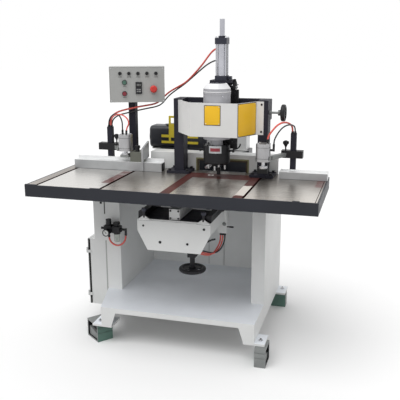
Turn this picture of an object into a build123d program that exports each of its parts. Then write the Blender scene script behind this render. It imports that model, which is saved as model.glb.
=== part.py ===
from build123d import *
import math
import os

os.makedirs("parts", exist_ok=True)

# Overall sizes: X runs along the table, the operator stands at -Y, Z is up from the floor
table_length = 1500
table_depth = 600
table_height = 938
machine_depth = 1020
table_front = -machine_depth / 2
table_rear = table_front + table_depth
machine_rear = machine_depth / 2

# Clearances
running_fit = 0.05
slide_gap = 0.4
seat_gap = 0.3

# Base: a sheet deck that widens to the left column, with lips, side skirts, corner legs and foot plates
base_width = 866
base_setback = 175
base_sheet = 5
deck_height = 223
lip_height = 29
leg_top_width = 85
leg_bottom_width = 60
mount_height = 105
foot_plate = 12
foot_reach = 55
foot_inset = 60
foot_length = 120
bolt_from_edge = 45
bolt_outside = 27
base_front = table_front + base_setback
base_side = base_width / 2
foot_top = mount_height + foot_plate

# Levelling mounts: steel housings, each shifted from its bolt and turned as it was set down
mount_sizes = ((125, 95), (120, 60), (95, 60), (95, 60))
mount_shifts = ((-22, 38), (10, -18), (0, 0), (-23, 13))
mount_turns = (-38, 90, 0, 180)
mount_rim = 9
mount_pocket = 22
mount_groove = 5
mount_groove_depth = 3
mount_groove_heights = (52, 82)
foot_bolt_radius = 8
foot_bolt_rise = 6
foot_bolt_depth = 12
foot_nut_radius = 12
foot_nut_height = 4

# Side columns and back panel
column_setback = 445
column_wall = 4
right_column_inner = 360
left_column_inner = -417
left_column_outer = -505
cover_left = -581
panel_sheet = 4
panel_from_rear = 13
panel_top = 700
column_front = table_front + column_setback

# Electrical box on the left column
box_width = 111
box_depth = 300
box_setback = 5
box_bottom = 113
box_height = 409
box_wall = 3
door_sheet = 4
door_gap = 0.6
gasket_thickness = 10
gasket_width = 14
hinge_radius = 5
hinge_pin_radius = 3
hinge_length = 16
hinge_spacing = 270
hinge_offset = 6
hinge_proud = 2
box_right = left_column_outer
box_left = box_right - box_width
box_front = column_front + box_setback
door_inner = box_left - door_gap
door_skin = door_inner - gasket_thickness
door_outer = door_skin - door_sheet
hinge_x = door_outer - hinge_proud
hinge_y = box_front - hinge_offset

# Table: a box-section frame with plates and wear strips let into its top
rim_height = 62
rim_wall = 8
plate_thickness = 10
table_sheet = 10
seam = 1.2
rib_margin = 10
seam_positions = (-693, -329, -16, 34, 345, 398, 735)
wear_front = table_front + 408
wear_rear = table_front + 530
table_side = table_length / 2
table_underside = table_height - rim_height
pocket_floor = table_height - plate_thickness
frame_ceiling = pocket_floor - table_sheet

# Fences: a bar with a raised rear lip
fence_front = table_front + 485
fence_bar = 55
fence_lip = 12
left_fence_ends = (-706, -172)
left_fence_heights = (50, 66)
right_fence_ends = (492, 747)
right_fence_heights = (38, 42)
fence_rear = fence_front + fence_bar + fence_lip

# Rear bulkhead with its window for the mortising bit
bulkhead_ends = (-275, 470)
bulkhead_sheet = 4
bulkhead_drop = 50
bulkhead_top = table_height + 97
bulkhead_shelf = 100
window_ends = (0, 305)
window_top = table_height + 74
window_frame_width = 16
window_frame_proud = 6

# Gantry
gantry_x = 161
post_width = 54
post_depth = 80
post_spacing = 470
post_front = table_front + 505
post_top = table_height + 412
post_wall = 6
flange_length = 130
flange_depth = 115
flange_thickness = 14
flange_shift = 9
flange_bolt_radius = 8
flange_bolt_head = 10
flange_bolt_inset = 14
beam_height = 110
beam_depth = 40
beam_rail = 12
beam_rail_proud = 10
beam_rail_heights = (table_height + 326, table_height + 380)
post_rear = post_front + post_depth
left_post_x = gantry_x - post_spacing / 2
right_post_x = gantry_x + post_spacing / 2
post_inner_left = left_post_x + post_width / 2
post_inner_right = right_post_x - post_width / 2
table_top_of_flange = table_height + flange_thickness

# Feed cylinder over the gantry
cylinder_y = table_front + 545
cylinder_cap = 64
cylinder_bore = 25
cylinder_radius = 28
bracket_width = 120
bracket_bottom = table_height + 499
bracket_plate = 14
lower_cap_height = 23
barrel_length = 164
upper_cap_height = 32
neck_radius = 20
neck_height = 11
sleeve_radius = 13.5
sleeve_height = 86
sleeve_bore = 7
sleeve_roof = 7
tie_rod_radius = 3
tie_rod_offset = 26
feed_rod_radius = 8
tail_rod_radius = 6
tail_rod_top = table_height + 738
piston_height = 26
piston_lift = 4
t_head_radius = 15
t_head_height = 10
t_head_bottom = table_height + 402
elbow_radius = 6
elbow_reach = 16
elbow_drop = 22
valve_size = (22, 26, 18)
lower_cap_bottom = bracket_bottom + bracket_plate
barrel_bottom = lower_cap_bottom + lower_cap_height
barrel_top = barrel_bottom + barrel_length
upper_cap_top = barrel_top + upper_cap_height
neck_top = upper_cap_top + neck_height
machine_top = neck_top + sleeve_height

# Cross carriage with its screw and handwheel
carriage_width = 180
carriage_plate = 15
carriage_setback = 15
carriage_bottom = table_height + 212
carriage_top = table_height + 462
carriage_slot = 72
carriage_slot_bottom = table_height + 370
shoe_lip = 8
head_rail = 14
head_rail_proud = 12
head_rail_offset = 55
nut_length = 49
nut_height = 30
cross_screw_radius = 6
cross_screw_z = table_height + 345
cross_screw_start = 258
cross_collar_radius = 11
cross_collar_length = 10
cross_wheel_x = 486
cross_wheel_radius = 45
cross_wheel_width = 24
cross_wheel_dish = 9
cross_wheel_rim = 13
cross_hub_radius = 15
cross_hub_length = 16
carriage_rear = post_rear - carriage_setback
carriage_front = carriage_rear - carriage_plate

# Drill head slide and motor
motor_y = table_front + 437
motor_radius = 72
motor_bottom = table_height + 212
motor_shoulder = table_height + 476
motor_top = table_height + 502
motor_crown_radius = 52
motor_band = (table_height + 446, table_height + 456)
motor_band_proud = 1
motor_gap = 4
nose_radius = 32
head_plate = 14
head_plate_width = 160
head_plate_bottom = table_height + 212
head_plate_top = table_height + 392
head_shoe_heights = ((table_height + 222, table_height + 272), (table_height + 332, table_height + 382))
saddle_block_width = 80
saddle_block_heights = (table_height + 242, table_height + 382)
t_block_width = 60
t_block_bottom = table_height + 392
t_block_top = table_height + 422
head_plate_front = motor_y + motor_radius + motor_gap
head_plate_rear = head_plate_front + head_plate

# Multi-spindle drill head
drill_head_radius = 71
drill_head_bottom = table_height + 80
drill_head_top = table_height + 178
drill_head_wall = 5
drill_head_floor = 12
drill_head_cover = 12
drill_head_chamfer = 6
gear_bottom = table_height + 120
gear_thickness = 24
gear_module = 2.25
drive_teeth = 24
drill_teeth = 16
tooth_addendum = 0.85
tooth_dedendum = 1.1
tooth_tip_share = 0.2
tooth_root_share = 0.62
drive_shaft_radius = 11
drive_shaft_bottom = table_height + 98
drive_shaft_top = table_height + 202
drill_shaft_radius = 8
drill_shaft_top = table_height + 158
collet_nut_radius = 9
collet_nut_height = 10
drill_bit_radius = 5.5
drill_bit_bottom = table_height + 47
cutter_radius = 11
cutter_tip = table_height + 8
gear_spacing = gear_module * (drive_teeth + drill_teeth) / 2

# Guard: folded sheet across the front of the posts
guard_bottom = table_height + 229
guard_top = table_height + 406
guard_sheet = 2
guard_front = table_front + 357
guard_flat = 253
guard_facet = 72
guard_flange = 40
guard_left_facet = 110
guard_tab = 26
guard_screw_radius = 4
guard_screw_head = 3
guard_screw_heights = (table_height + 246, table_height + 390)
guard_screw_inset = 12

# Knee hanger under the table, with two upright guides
hanger_ends = (-215, 224)
hanger_front = table_front + 447
hanger_plate = 14
hanger_bottom = table_height - 248
guide_offset = 115
guide_width = 20
guide_proud = 10
guide_bottom = table_height - 233
guide_top = table_height - 66
lift_travel = 15

# Knee: front plate, side plates, guide rails and bottom plate
knee_x = 15
knee_width = 392
knee_bottom_width = 285
knee_front = table_front + 120
knee_plate = 10
knee_top = table_height - 177
knee_shoulder = table_height - 233
knee_bottom = table_height - 336
knee_rail_width = 30
knee_rail_height = 40
knee_rail_rear = table_front + 980
knee_shoe_bottom = guide_bottom + 10
knee_shoe_height = 44
knee_shoe_width = 48
knee_tray_width = 150
knee_tray_bottom = table_height - 326
knee_tray_plate = 10
bracket_ends = (177, 224)
bracket_drop = table_height - 308
manifold_size = (44, 70, 70)
manifold_front = table_front + 225
plunge_body = 56
plunge_body_length = 240
plunge_bore = 20
plunge_rod_radius = 10
plunge_z = table_height - 142
stop_pad_base = 76
stop_pad_height = 14
stop_bolt_radius = 7
stop_bolt_height = 50
stop_bolt_inset = 38
stop_head_radius = 13
stop_head_height = 16
hanger_rear = hanger_front + hanger_plate
knee_left = knee_x - knee_width / 2
knee_right = knee_x + knee_width / 2
knee_rail_top = knee_top + knee_rail_height

# Lift screw and its handwheel under the knee
lift_x = 25
lift_y = table_front + 425
lift_wheel_z = table_height - 551
lift_wheel_radius = 77
lift_wheel_rim = 12
lift_wheel_holes = 3
lift_hole_radius = 13
lift_hub_radius = 22
lift_hub_height = 34
lift_web = 8
lift_shaft_radius = 14
lift_screw_radius = 10
lift_screw_top = table_height - 186
lift_collar_radius = 18
lift_collar_height = 8
nut_block_width = 44
nut_block_bottom = table_height - 244
nut_block_height = 30

# Mortising unit behind the table
saddle_front = table_front + 760
saddle_rear = table_front + 965
saddle_ends = (-390, 300)
saddle_plate = 16
saddle_lip = 8
cross_bar_radius = 11
cross_bar_offset = 60
cross_bar_rise = 24
cross_bar_block = 30
cross_bar_cover = 4
bearing_inset = 20
bearing_length = 80
bearing_width = 44
bearing_wall = 8
traverse_gap = 6
traverse_ends = (-300, 255)
traverse_plate = 14
cradle_width = 80
riser_leg = 14
riser_plate = 8
riser_gap = 2
spindle_x = 64
spindle_z = table_height + 24
spindle_motor_radius = 50
spindle_motor_length = 200
quill_radius = 16
quill_length = 100
mortise_shaft_radius = 10
motor_end_wall = 12
collet_radius = 13
collet_length = 20
bit_radius = 8
bit_length = 75
swing_motor_radius = 62
swing_motor_z = table_height + 144
swing_motor_ends = (-372, -120)
swing_motor_y = table_front + 910
gear_case_ends = (-120, -5)
gear_case_top = table_height + 166
terminal_ends = (118, 238)
terminal_top = table_height + 168
unit_depth = 104
strap_thickness = 8
strap_heights = ((table_height + 108, table_height + 122), (table_height + 144, table_height + 160))
strap_ends = (-292, -60)
strap_post_x = -238
strap_post_width = 12
strap_post_top = table_height + 276
strap_hook = 50
strap_hook_drop = 26
strap_tab_ends = (-236, -200)
strap_tab_top = table_height + 228
bed_top = knee_rail_top + saddle_lip
saddle_top = bed_top + saddle_plate
cross_bar_height = saddle_top + cross_bar_rise
traverse_bottom = cross_bar_height + cross_bar_radius + traverse_gap
traverse_top = traverse_bottom + traverse_plate
spindle_motor_front = table_front + 770
spindle_motor_rear = spindle_motor_front + spindle_motor_length
quill_front = spindle_motor_front - quill_length
riser_top = spindle_z + spindle_motor_radius + riser_gap + riser_plate
unit_front = swing_motor_y - swing_motor_radius - slide_gap

# Control post and box
control_post_x = -385
control_post_size = 40
control_box_width = 308
control_box_height = 196
control_box_depth = 120
control_box_bottom = table_height + 382
control_box_turn = 20
control_box_centre = (-350, table_rear + 6)
control_sheet = 3
bezel_proud = 5
selector_row = (-94, 61.5)
selector_pitch = 50
selector_count = 5
selector_radius = 8.5
selector_length = 9
selector_bar = 5
selector_bezel = 11
stem_radius = 5
stem_length = 22
push_radius = 11
push_length = 10
push_travel = 4
green_place = (-70, 12.5)
red_place = (-71, -49.5)
stop_place = (92, -24.5)
stop_radius = 20
stop_neck_radius = 11
stop_height = 16
stop_travel = 5
timer_place = (9, -18.5)
timer_size = (35, 66)
timer_proud = 7
bezel_radius = 14

# Clamps: posts, cross blocks, arms, cylinders and plungers
clamp_post_size = 30
clamp_post_wall = 2.5
clamp_post_y = table_front + 575
clamp_post_x = (-512, 553)
clamp_post_top = table_height + 234
clamp_post_cap = 6
clamp_foot = 58
clamp_foot_height = 8
block_length = 116
block_depth = 46
block_height = 40
block_bottom = table_height + 102
block_shift = (-10, -5)
arm_width = 22
arm_bottom = table_height + 110
arm_height = 20
arm_foot = 8
arm_foot_width = 50
clamp_centres = ((-393, table_front + 510), (414, table_front + 430))
clamp_bottoms = (table_height + 110, table_height + 102)
clamp_body = 74
clamp_body_height = 94
clamp_edge = 26
clamp_rod_radius = 10
clamp_bore_depth = 60
pad_gaps = (12, 24)
pad_plates = (10, 14)
pad_heights = (13, 24)
pad_plate_radius = 24
pad_size = 54
pad_corner = 6
port_radius = 6
port_height = 12
top_ports = (((-20, 8), (8, -4)), ((22, 2),))
side_port_y = 14
side_port_z = 58
side_port_reach = 16
side_port_rise = 22
knob_radius = 17
knob_height = 14
knob_lobes = 5
knob_lobe_radius = 6
knob_stud_radius = 4
knob_stud_length = 34
knob_places = (-475, 511)
knob_socket = 18

# Flip stop on the left fence
carrier_ends = (-361, -287)
carrier_setback = 8
carrier_overhang = 26
carrier_height = 57
carrier_ring_radius = 12
carrier_ring_height = 20
fin_thickness = 10
fin_pivot_setback = 80
fin_pin_radius = 6
fin_heel = 12
fin_leg = 9
fin_leg_lift = 4
fin_front_rise = 78
fin_tip_rise = 111

# Air service unit on the left column
service_y = column_front - 45
regulator_x = -468
regulator_body = 44
regulator_heights = (590, 632)
regulator_knob_radius = 16
regulator_knob_height = 34
lubricator_x = -418
lubricator_body = 46
lubricator_heights = (592, 628)
lubricator_neck_radius = 11
lubricator_cap_radius = 19
lubricator_cap_heights = (640, 652)
bowl_radius = 17
bowl_length = 58
gauge_x = -465
gauge_z = 598
gauge_radius = 20
gauge_depth = 14
gauge_stem = 5
service_bracket = 20
service_elbow_radius = 7
service_elbow_x = -364
service_elbow_left = -514
service_elbow_drop = 24

# Air hoses
wide_hose_radius = 5
slim_hose_radius = 4
hose_bend_share = 0.45
table_hose_count = 3
hose_spacing = 12


def centre(span):
    return (span[0] + span[1]) / 2


def length(span):
    return abs(span[1] - span[0])


def block(x, y, z, mode=Mode.ADD):
    """A box between two limits along each axis."""
    with Locations((centre(x), centre(y), centre(z))):
        Box(length(x), length(y), length(z), mode=mode)


def bar_x(x, y, z, radius, mode=Mode.ADD):
    """A round bar along X."""
    with Locations((centre(x), y, z)):
        Cylinder(radius, length(x), rotation=(0, 90, 0), mode=mode)


def bar_y(x, y, z, radius, mode=Mode.ADD):
    """A round bar along Y."""
    with Locations((x, centre(y), z)):
        Cylinder(radius, length(y), rotation=(90, 0, 0), mode=mode)


def bar_z(x, y, z, radius, mode=Mode.ADD):
    """A round bar along Z."""
    with Locations((x, y, centre(z))):
        Cylinder(radius, length(z), mode=mode)


def around(value, size):
    """The span of a size centred on a value."""
    return (value - size / 2, value + size / 2)


def plate_xz(points, y, mode=Mode.ADD):
    """A plate with an outline in X and Z between two Y limits."""
    with BuildSketch(Plane.XZ.offset(-max(y))) as outline:
        with BuildLine():
            Polyline(*points, close=True)
        make_face()
    extrude(outline.sketch, amount=length(y), mode=mode)


def plate_xy(points, z, mode=Mode.ADD):
    """A plate with an outline in X and Y between two heights."""
    with BuildSketch(Plane.XY.offset(min(z))) as outline:
        with BuildLine():
            Polyline(*points, close=True)
        make_face()
    extrude(outline.sketch, amount=length(z), mode=mode)


def upright_plane(x, y):
    """A plane through an upright axis, with X to the right and Z up."""
    return Plane(origin=(x, y, 0), x_dir=(1, 0, 0), z_dir=(0, -1, 0))


def ring_profile(points, x, y):
    """A turned piece about an upright axis, from radius and height pairs."""
    with BuildSketch(upright_plane(x, y)) as outline:
        with BuildLine():
            Polyline(*points, close=True)
        make_face()
    revolve(outline.sketch, axis=Axis((x, y, 0), (0, 0, 1)))


def save(piece, name):
    """Label a finished piece and write it to its own file."""
    piece.part.label = name
    export_step(piece.part, f"parts/{name}.step")


def save_group(pieces, name):
    """Label several finished pieces as one group and write them to one file."""
    group = Compound(label=name, children=[solid for piece in pieces for solid in piece.solids()])
    export_step(group, f"parts/{name}.step")


def gear_outline(teeth, phase):
    """Corners of a straight-flanked gear with a tooth centred on the phase angle in degrees."""
    pitch_radius = gear_module * teeth / 2
    tip = pitch_radius + tooth_addendum * gear_module
    root = pitch_radius - tooth_dedendum * gear_module
    step = 360 / teeth
    corners = []
    for tooth in range(teeth):
        middle = phase + tooth * step
        for radius, share in ((root, -tooth_root_share), (tip, -tooth_tip_share),
                              (tip, tooth_tip_share), (root, tooth_root_share)):
            angle = math.radians(middle + share * step / 2)
            corners.append((radius * math.cos(angle), radius * math.sin(angle)))
    return corners


def gear(x, y, teeth, phase):
    """A gear on an upright axis."""
    points = [(x + px, y + py) for px, py in gear_outline(teeth, phase)]
    plate_xy(points, (gear_bottom, gear_bottom + gear_thickness))


def star_knob(x, y, bottom):
    """A lobed knob on an upright axis."""
    bar_z(x, y, (bottom, bottom + knob_height), knob_radius - knob_lobe_radius / 2)
    with Locations((x, y, bottom + knob_height / 2)):
        with PolarLocations(knob_radius - knob_lobe_radius, knob_lobes):
            Cylinder(knob_lobe_radius, knob_height)


def hose(points, hose_radius):
    """A hose along straight runs joined by tangent arcs as large as the runs allow."""
    corners = [Vector(*point) for point in points]
    runs = [after - before for before, after in zip(corners, corners[1:])]
    radii = []
    for before, after in zip(runs, runs[1:]):
        half_turn = math.radians(before.get_angle(after)) / 2
        radii.append(hose_bend_share * min(before.length, after.length) / math.tan(half_turn))
    with BuildPart() as tube:
        with BuildLine() as path:
            FilletPolyline(*points, radius=radii)
        with BuildSketch(Plane(origin=points[0], z_dir=path.line % 0)):
            Circle(hose_radius)
        sweep()
    run = sum(edge.length for edge in path.edges())
    share = tube.part.volume / (math.pi * hose_radius ** 2 * run)
    print("hose length", round(run), "least radius", round(min(radii), 1), "volume share", round(share, 4))
    return tube


# Base frame
deck_outline = (
    (-base_side, base_front),
    (base_side, base_front),
    (base_side, machine_rear),
    (left_column_outer, machine_rear),
    (left_column_outer, column_front),
)
feet = (
    (-1, -base_side, base_front, 1),
    (1, base_side, base_front, 1),
    (-1, left_column_outer, machine_rear, -1),
    (1, base_side, machine_rear, -1),
)
foot_places = [
    (edge + side * bolt_outside, end + inward * bolt_from_edge) for side, edge, end, inward in feet
]
with BuildPart() as base_frame:
    plate_xy(deck_outline, (deck_height - base_sheet, deck_height))
    with BuildSketch(Plane.XY.offset(foot_top)) as skirt:
        with BuildLine():
            Polyline(*deck_outline, close=True)
        make_face()
        offset(amount=-base_sheet, kind=Kind.INTERSECTION, mode=Mode.SUBTRACT)
    extrude(skirt.sketch, amount=deck_height - foot_top)
    for wall, left in (
        ((base_front, base_front + base_sheet), -base_side),
        ((machine_rear - base_sheet, machine_rear), left_column_outer),
    ):
        between_legs = (
            (left + leg_top_width, deck_height - lip_height),
            (base_side - leg_top_width, deck_height - lip_height),
            (base_side - leg_bottom_width, foot_top),
            (left + leg_bottom_width, foot_top),
        )
        plate_xz(between_legs, wall, Mode.SUBTRACT)
    for side, edge, end, inward in feet:
        foot_x = (edge - side * foot_inset, edge + side * foot_reach)
        block(foot_x, (end, end + inward * foot_length), (mount_height, foot_top))
    for x, y in foot_places:
        bar_z(x, y, (mount_height, foot_top), foot_bolt_radius + seat_gap, Mode.SUBTRACT)
save(base_frame, "base_frame")

# Levelling mounts: a housing with a window in one long side and grooves across its ends
with BuildPart() as levelling_mounts:
    for (x, y), (dx, dy), (mount_length, mount_width), turn in zip(
        foot_places, mount_shifts, mount_sizes, mount_turns
    ):
        with Locations(Location((x + dx, y + dy, mount_height / 2), (0, 0, turn))):
            Box(mount_length, mount_width, mount_height)
            with Locations((0, (mount_pocket - mount_width) / 2, 0)):
                Box(mount_length - 2 * mount_rim, mount_pocket, mount_height - 2 * mount_rim,
                    mode=Mode.SUBTRACT)
            for height in mount_groove_heights:
                for end in around(0, mount_length - mount_groove_depth):
                    with Locations((end, 0, height - mount_height / 2)):
                        Box(mount_groove_depth, mount_width, mount_groove, mode=Mode.SUBTRACT)
        hole = (mount_height - foot_bolt_depth - seat_gap, mount_height)
        bar_z(x, y, hole, foot_bolt_radius + seat_gap, Mode.SUBTRACT)
save(levelling_mounts, "levelling_mounts")

# Side columns, open at the foot where they stand on the deck, and the cover over the electrical box
with BuildPart() as side_columns:
    for span in ((left_column_outer, left_column_inner), (right_column_inner, base_side)):
        block(span, (column_front, machine_rear), (deck_height, table_underside))
        inside = (span[0] + column_wall, span[1] - column_wall)
        block(inside, (column_front + column_wall, machine_rear - column_wall),
              (deck_height, table_underside - column_wall), Mode.SUBTRACT)
    cover_y = (column_front, box_front + box_depth)
    cover_z = (box_bottom + box_height, table_underside)
    block((cover_left, left_column_outer), cover_y, cover_z)
    block((cover_left + column_wall, left_column_outer), (cover_y[0] + column_wall, cover_y[1] - column_wall),
          (cover_z[0], cover_z[1] - column_wall), Mode.SUBTRACT)
# Back panel between the columns
with BuildPart() as back_panel:
    panel_front = machine_rear - panel_from_rear
    block((left_column_inner, right_column_inner), (panel_front, panel_front + panel_sheet),
          (deck_height, panel_top))
save_group((side_columns, back_panel), "side_columns")

# Electrical box, open on its left side, with the fixed halves of the hinges
hinge_heights = [
    centre((box_bottom, box_bottom + box_height)) + side * hinge_spacing / 2 for side in (-1, 1)
]
with BuildPart() as electrical_box:
    box_y = (box_front, box_front + box_depth)
    box_z = (box_bottom, box_bottom + box_height)
    block((box_left, box_right), box_y, box_z)
    block((box_left, box_right - box_wall), (box_y[0] + box_wall, box_y[1] - box_wall),
          (box_z[0] + box_wall, box_z[1] - box_wall), Mode.SUBTRACT)
    for height in hinge_heights:
        barrel = (height - hinge_length, height)
        block((hinge_x, box_left + hinge_radius), (hinge_y, box_front), barrel)
        bar_z(hinge_x, hinge_y, barrel, hinge_radius)
        bar_z(hinge_x, hinge_y, (height - hinge_length, height + hinge_length), hinge_pin_radius)
        block((door_outer - slide_gap, door_inner + slide_gap),
              (box_front - slide_gap, box_front + hinge_radius),
              barrel, Mode.SUBTRACT)
save(electrical_box, "electrical_box")

# Electrical door with its gasket and the lifting halves of the hinges
with BuildPart() as door_gasket:
    block((door_skin, door_inner), box_y, box_z)
    block((door_skin, door_inner), (box_y[0] + gasket_width, box_y[1] - gasket_width),
          (box_z[0] + gasket_width, box_z[1] - gasket_width), Mode.SUBTRACT)

with BuildPart() as electrical_door:
    block((door_outer, door_skin), box_y, box_z)
    for height in hinge_heights:
        barrel = (height + seat_gap, height + hinge_length)
        block((hinge_x, door_skin), (hinge_y, box_front), barrel)
        bar_z(hinge_x, hinge_y, barrel, hinge_radius)
        bar_z(hinge_x, hinge_y, barrel, hinge_pin_radius + running_fit, Mode.SUBTRACT)
save_group((electrical_door, door_gasket), "electrical_door")

# Table frame: a rim round the plates, with ribs left over the columns
rib_spans = (
    (cover_left - rib_margin, left_column_inner + rib_margin),
    (right_column_inner - rib_margin, base_side + rib_margin),
)
with BuildPart() as table_frame:
    inside_y = (table_front + rim_wall, table_rear - rim_wall)
    block((-table_side, table_side), (table_front, table_rear), (table_underside, table_height))
    block((rim_wall - table_side, table_side - rim_wall), inside_y,
          (pocket_floor, table_height), Mode.SUBTRACT)
    for bay in (
        (rim_wall - table_side, rib_spans[0][0]),
        (rib_spans[0][1], rib_spans[1][0]),
        (rib_spans[1][1], table_side - rim_wall),
    ):
        block(bay, inside_y, (table_underside, frame_ceiling), Mode.SUBTRACT)
save(table_frame, "table_frame")

# Table plates and wear strips, side by side in the pocket
plate_z = (pocket_floor, table_height)
plate_y = (inside_y[0] + seat_gap, inside_y[1] - seat_gap)
left_edge = rim_wall - table_side + seat_gap
right_edge = table_side - rim_wall - seat_gap
end_left, left_mid, strip_left, strip_right, band_left, band_right, end_right = seam_positions
with BuildPart() as table_plates:
    block((left_edge, end_left - seam), plate_y, plate_z)
    block((end_left, left_mid - seam), plate_y, plate_z)
    block((left_mid, strip_left - seam), plate_y, plate_z)
    block((strip_right, band_left - seam), (plate_y[0], wear_front - seam), plate_z)
    block((strip_left, band_right - seam), (wear_rear, plate_y[1]), plate_z)
    block((band_right, end_right - seam), plate_y, plate_z)
    block((end_right, right_edge), plate_y, plate_z)
save(table_plates, "table_plates")

with BuildPart() as wear_strips:
    block((strip_left, strip_right - seam), (plate_y[0], wear_front - seam), plate_z)
    block((band_left, band_right - seam), (plate_y[0], wear_front - seam), plate_z)
    block((strip_left, band_right - seam), (wear_front, wear_rear - seam), plate_z)
save(wear_strips, "wear_strips")

# Fences
with BuildPart() as fences:
    for ends, heights in ((left_fence_ends, left_fence_heights), (right_fence_ends, right_fence_heights)):
        block(ends, (fence_front, fence_rear), (table_height, table_height + heights[0]))
        block(ends, (fence_rear - fence_lip, fence_rear), (table_height, table_height + heights[1]))
save(fences, "fences")

# Rear bulkhead and the frame round its window
with BuildPart() as rear_bulkhead:
    window_z = (table_height, window_top)
    window_hole = (window_ends[0] + window_frame_width, window_ends[1] - window_frame_width)
    hole_z = (table_height, window_top - window_frame_width)
    bulkhead_y = (table_rear, table_rear + bulkhead_sheet)
    block(bulkhead_ends, bulkhead_y, (table_height - bulkhead_drop, bulkhead_top))
    block(bulkhead_ends, (table_rear, table_rear + bulkhead_shelf),
          (bulkhead_top - bulkhead_sheet, bulkhead_top))
    frame_y = (table_rear - window_frame_proud, table_rear)
    block(window_ends, frame_y, window_z)
    block(window_hole, (frame_y[0], bulkhead_y[1]), hole_z, Mode.SUBTRACT)
save(rear_bulkhead, "rear_bulkhead")

# Gantry posts with their foot flanges and the bore for the cross screw
flange_y = around(post_front + post_depth / 2 - flange_shift, flange_depth)
with BuildPart() as gantry_posts:
    for post_x in (left_post_x, right_post_x):
        block(around(post_x, flange_length), flange_y, (table_height, table_top_of_flange))
        block(around(post_x, post_width), (post_front, post_rear), (table_top_of_flange, post_top))
        block(around(post_x, post_width - 2 * post_wall), (post_front + post_wall, post_rear - post_wall),
              (table_top_of_flange, post_top - post_wall), Mode.SUBTRACT)
    bar_x(around(right_post_x, post_width), cylinder_y, cross_screw_z, cross_screw_radius + running_fit,
          Mode.SUBTRACT)
save(gantry_posts, "gantry_posts")

# Crossbeam behind the posts, with cross rails and the cylinder bracket
with BuildPart() as crossbeam:
    beam_y = (post_rear, post_rear + beam_depth)
    block((left_post_x - post_width / 2, right_post_x + post_width / 2), beam_y,
          (post_top - beam_height, post_top))
    for height in beam_rail_heights:
        block((post_inner_left, post_inner_right), (post_rear - beam_rail_proud, post_rear),
              around(height, beam_rail))
    bracket_x = around(gantry_x, bracket_width)
    block(bracket_x, (beam_y[1] - bracket_plate, beam_y[1]), (post_top, lower_cap_bottom))
    block(bracket_x, (cylinder_y - cylinder_cap / 2, beam_y[1]), (bracket_bottom, lower_cap_bottom))
    bar_z(gantry_x, cylinder_y, (bracket_bottom, lower_cap_bottom),
          feed_rod_radius + slide_gap, Mode.SUBTRACT)
save(crossbeam, "crossbeam")

# Head guard, folded from one sheet: a wide facet and a tab on the left, a facet and a flange on the right
guard_half = guard_flat / 2
guard_reach = guard_half + guard_facet
guard_left = guard_half + guard_left_facet
guard_face = post_front
guard_outer = guard_front - guard_sheet
facet_run = guard_face - guard_front
fold = math.tan(math.atan2(facet_run, guard_facet) / 2) * guard_sheet
left_slope = guard_left_facet / facet_run
left_shift = guard_sheet * math.hypot(1, left_slope)
with BuildPart() as head_guard:
    guard_outline = (
        (guard_reach + guard_flange, guard_face - guard_sheet),
        (guard_reach + fold, guard_face - guard_sheet),
        (guard_half + fold, guard_outer),
        (left_slope * guard_sheet - guard_half, guard_outer),
        (-guard_left, guard_face),
        (guard_tab - guard_left, guard_face),
        (guard_tab - guard_left, guard_face - guard_sheet),
        (left_shift + left_slope * guard_sheet - guard_left, guard_face - guard_sheet),
        (left_shift - guard_half, guard_front),
        (guard_half, guard_front),
        (guard_reach, guard_face),
        (guard_reach + guard_flange, guard_face),
    )
    plate_xy([(gantry_x + x, y) for x, y in guard_outline], (guard_bottom, guard_top))
save(head_guard, "head_guard")

# Bolts: through the feet, in the post flanges and in the guard flanges
with BuildPart() as frame_bolts:
    for x, y in foot_places:
        bar_z(x, y, (mount_height - foot_bolt_depth, foot_top + foot_bolt_rise), foot_bolt_radius)
        with BuildSketch(Plane.XY.offset(foot_top)):
            with Locations((x, y)):
                RegularPolygon(foot_nut_radius, 6)
        extrude(amount=foot_nut_height)
    for post_x in (left_post_x, right_post_x):
        for x in around(post_x, flange_length - 2 * flange_bolt_inset):
            for y in around(centre(flange_y), flange_depth - 2 * flange_bolt_inset):
                bar_z(x, y, (table_top_of_flange, table_top_of_flange + flange_bolt_head), flange_bolt_radius)
    for screw_x in (
        gantry_x + guard_tab - guard_left - guard_screw_inset,
        gantry_x + guard_reach + guard_flange - guard_screw_inset,
    ):
        for height in guard_screw_heights:
            bar_y(screw_x, (guard_face - guard_sheet - guard_screw_head, guard_face - guard_sheet), height,
                  guard_screw_radius)
save(frame_bolts, "frame_bolts")

# Feed cylinder: lower cap, barrel, upper cap with tail sleeve, tie rods and elbows
with BuildPart() as lower_cap:
    cap_x = around(gantry_x, cylinder_cap)
    cap_y = around(cylinder_y, cylinder_cap)
    block(cap_x, cap_y, (lower_cap_bottom, barrel_bottom))
    bar_z(gantry_x, cylinder_y, (lower_cap_bottom, barrel_bottom),
          feed_rod_radius + running_fit, Mode.SUBTRACT)
    elbow_z = centre((lower_cap_bottom, barrel_bottom))
    elbow_y = cap_y[1] + elbow_reach
    bar_y(gantry_x, (cap_y[1], elbow_y), elbow_z, elbow_radius)
    bar_z(gantry_x, elbow_y, (elbow_z - elbow_radius, elbow_z + elbow_drop), elbow_radius)
    block((cap_x[1], cap_x[1] + valve_size[0]), around(cylinder_y, valve_size[1]),
          around(elbow_z, valve_size[2]))

with BuildPart() as barrel_tube:
    bar_z(gantry_x, cylinder_y, (barrel_bottom, barrel_top), cylinder_radius)
    bar_z(gantry_x, cylinder_y, (barrel_bottom, barrel_top), cylinder_bore, Mode.SUBTRACT)

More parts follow.
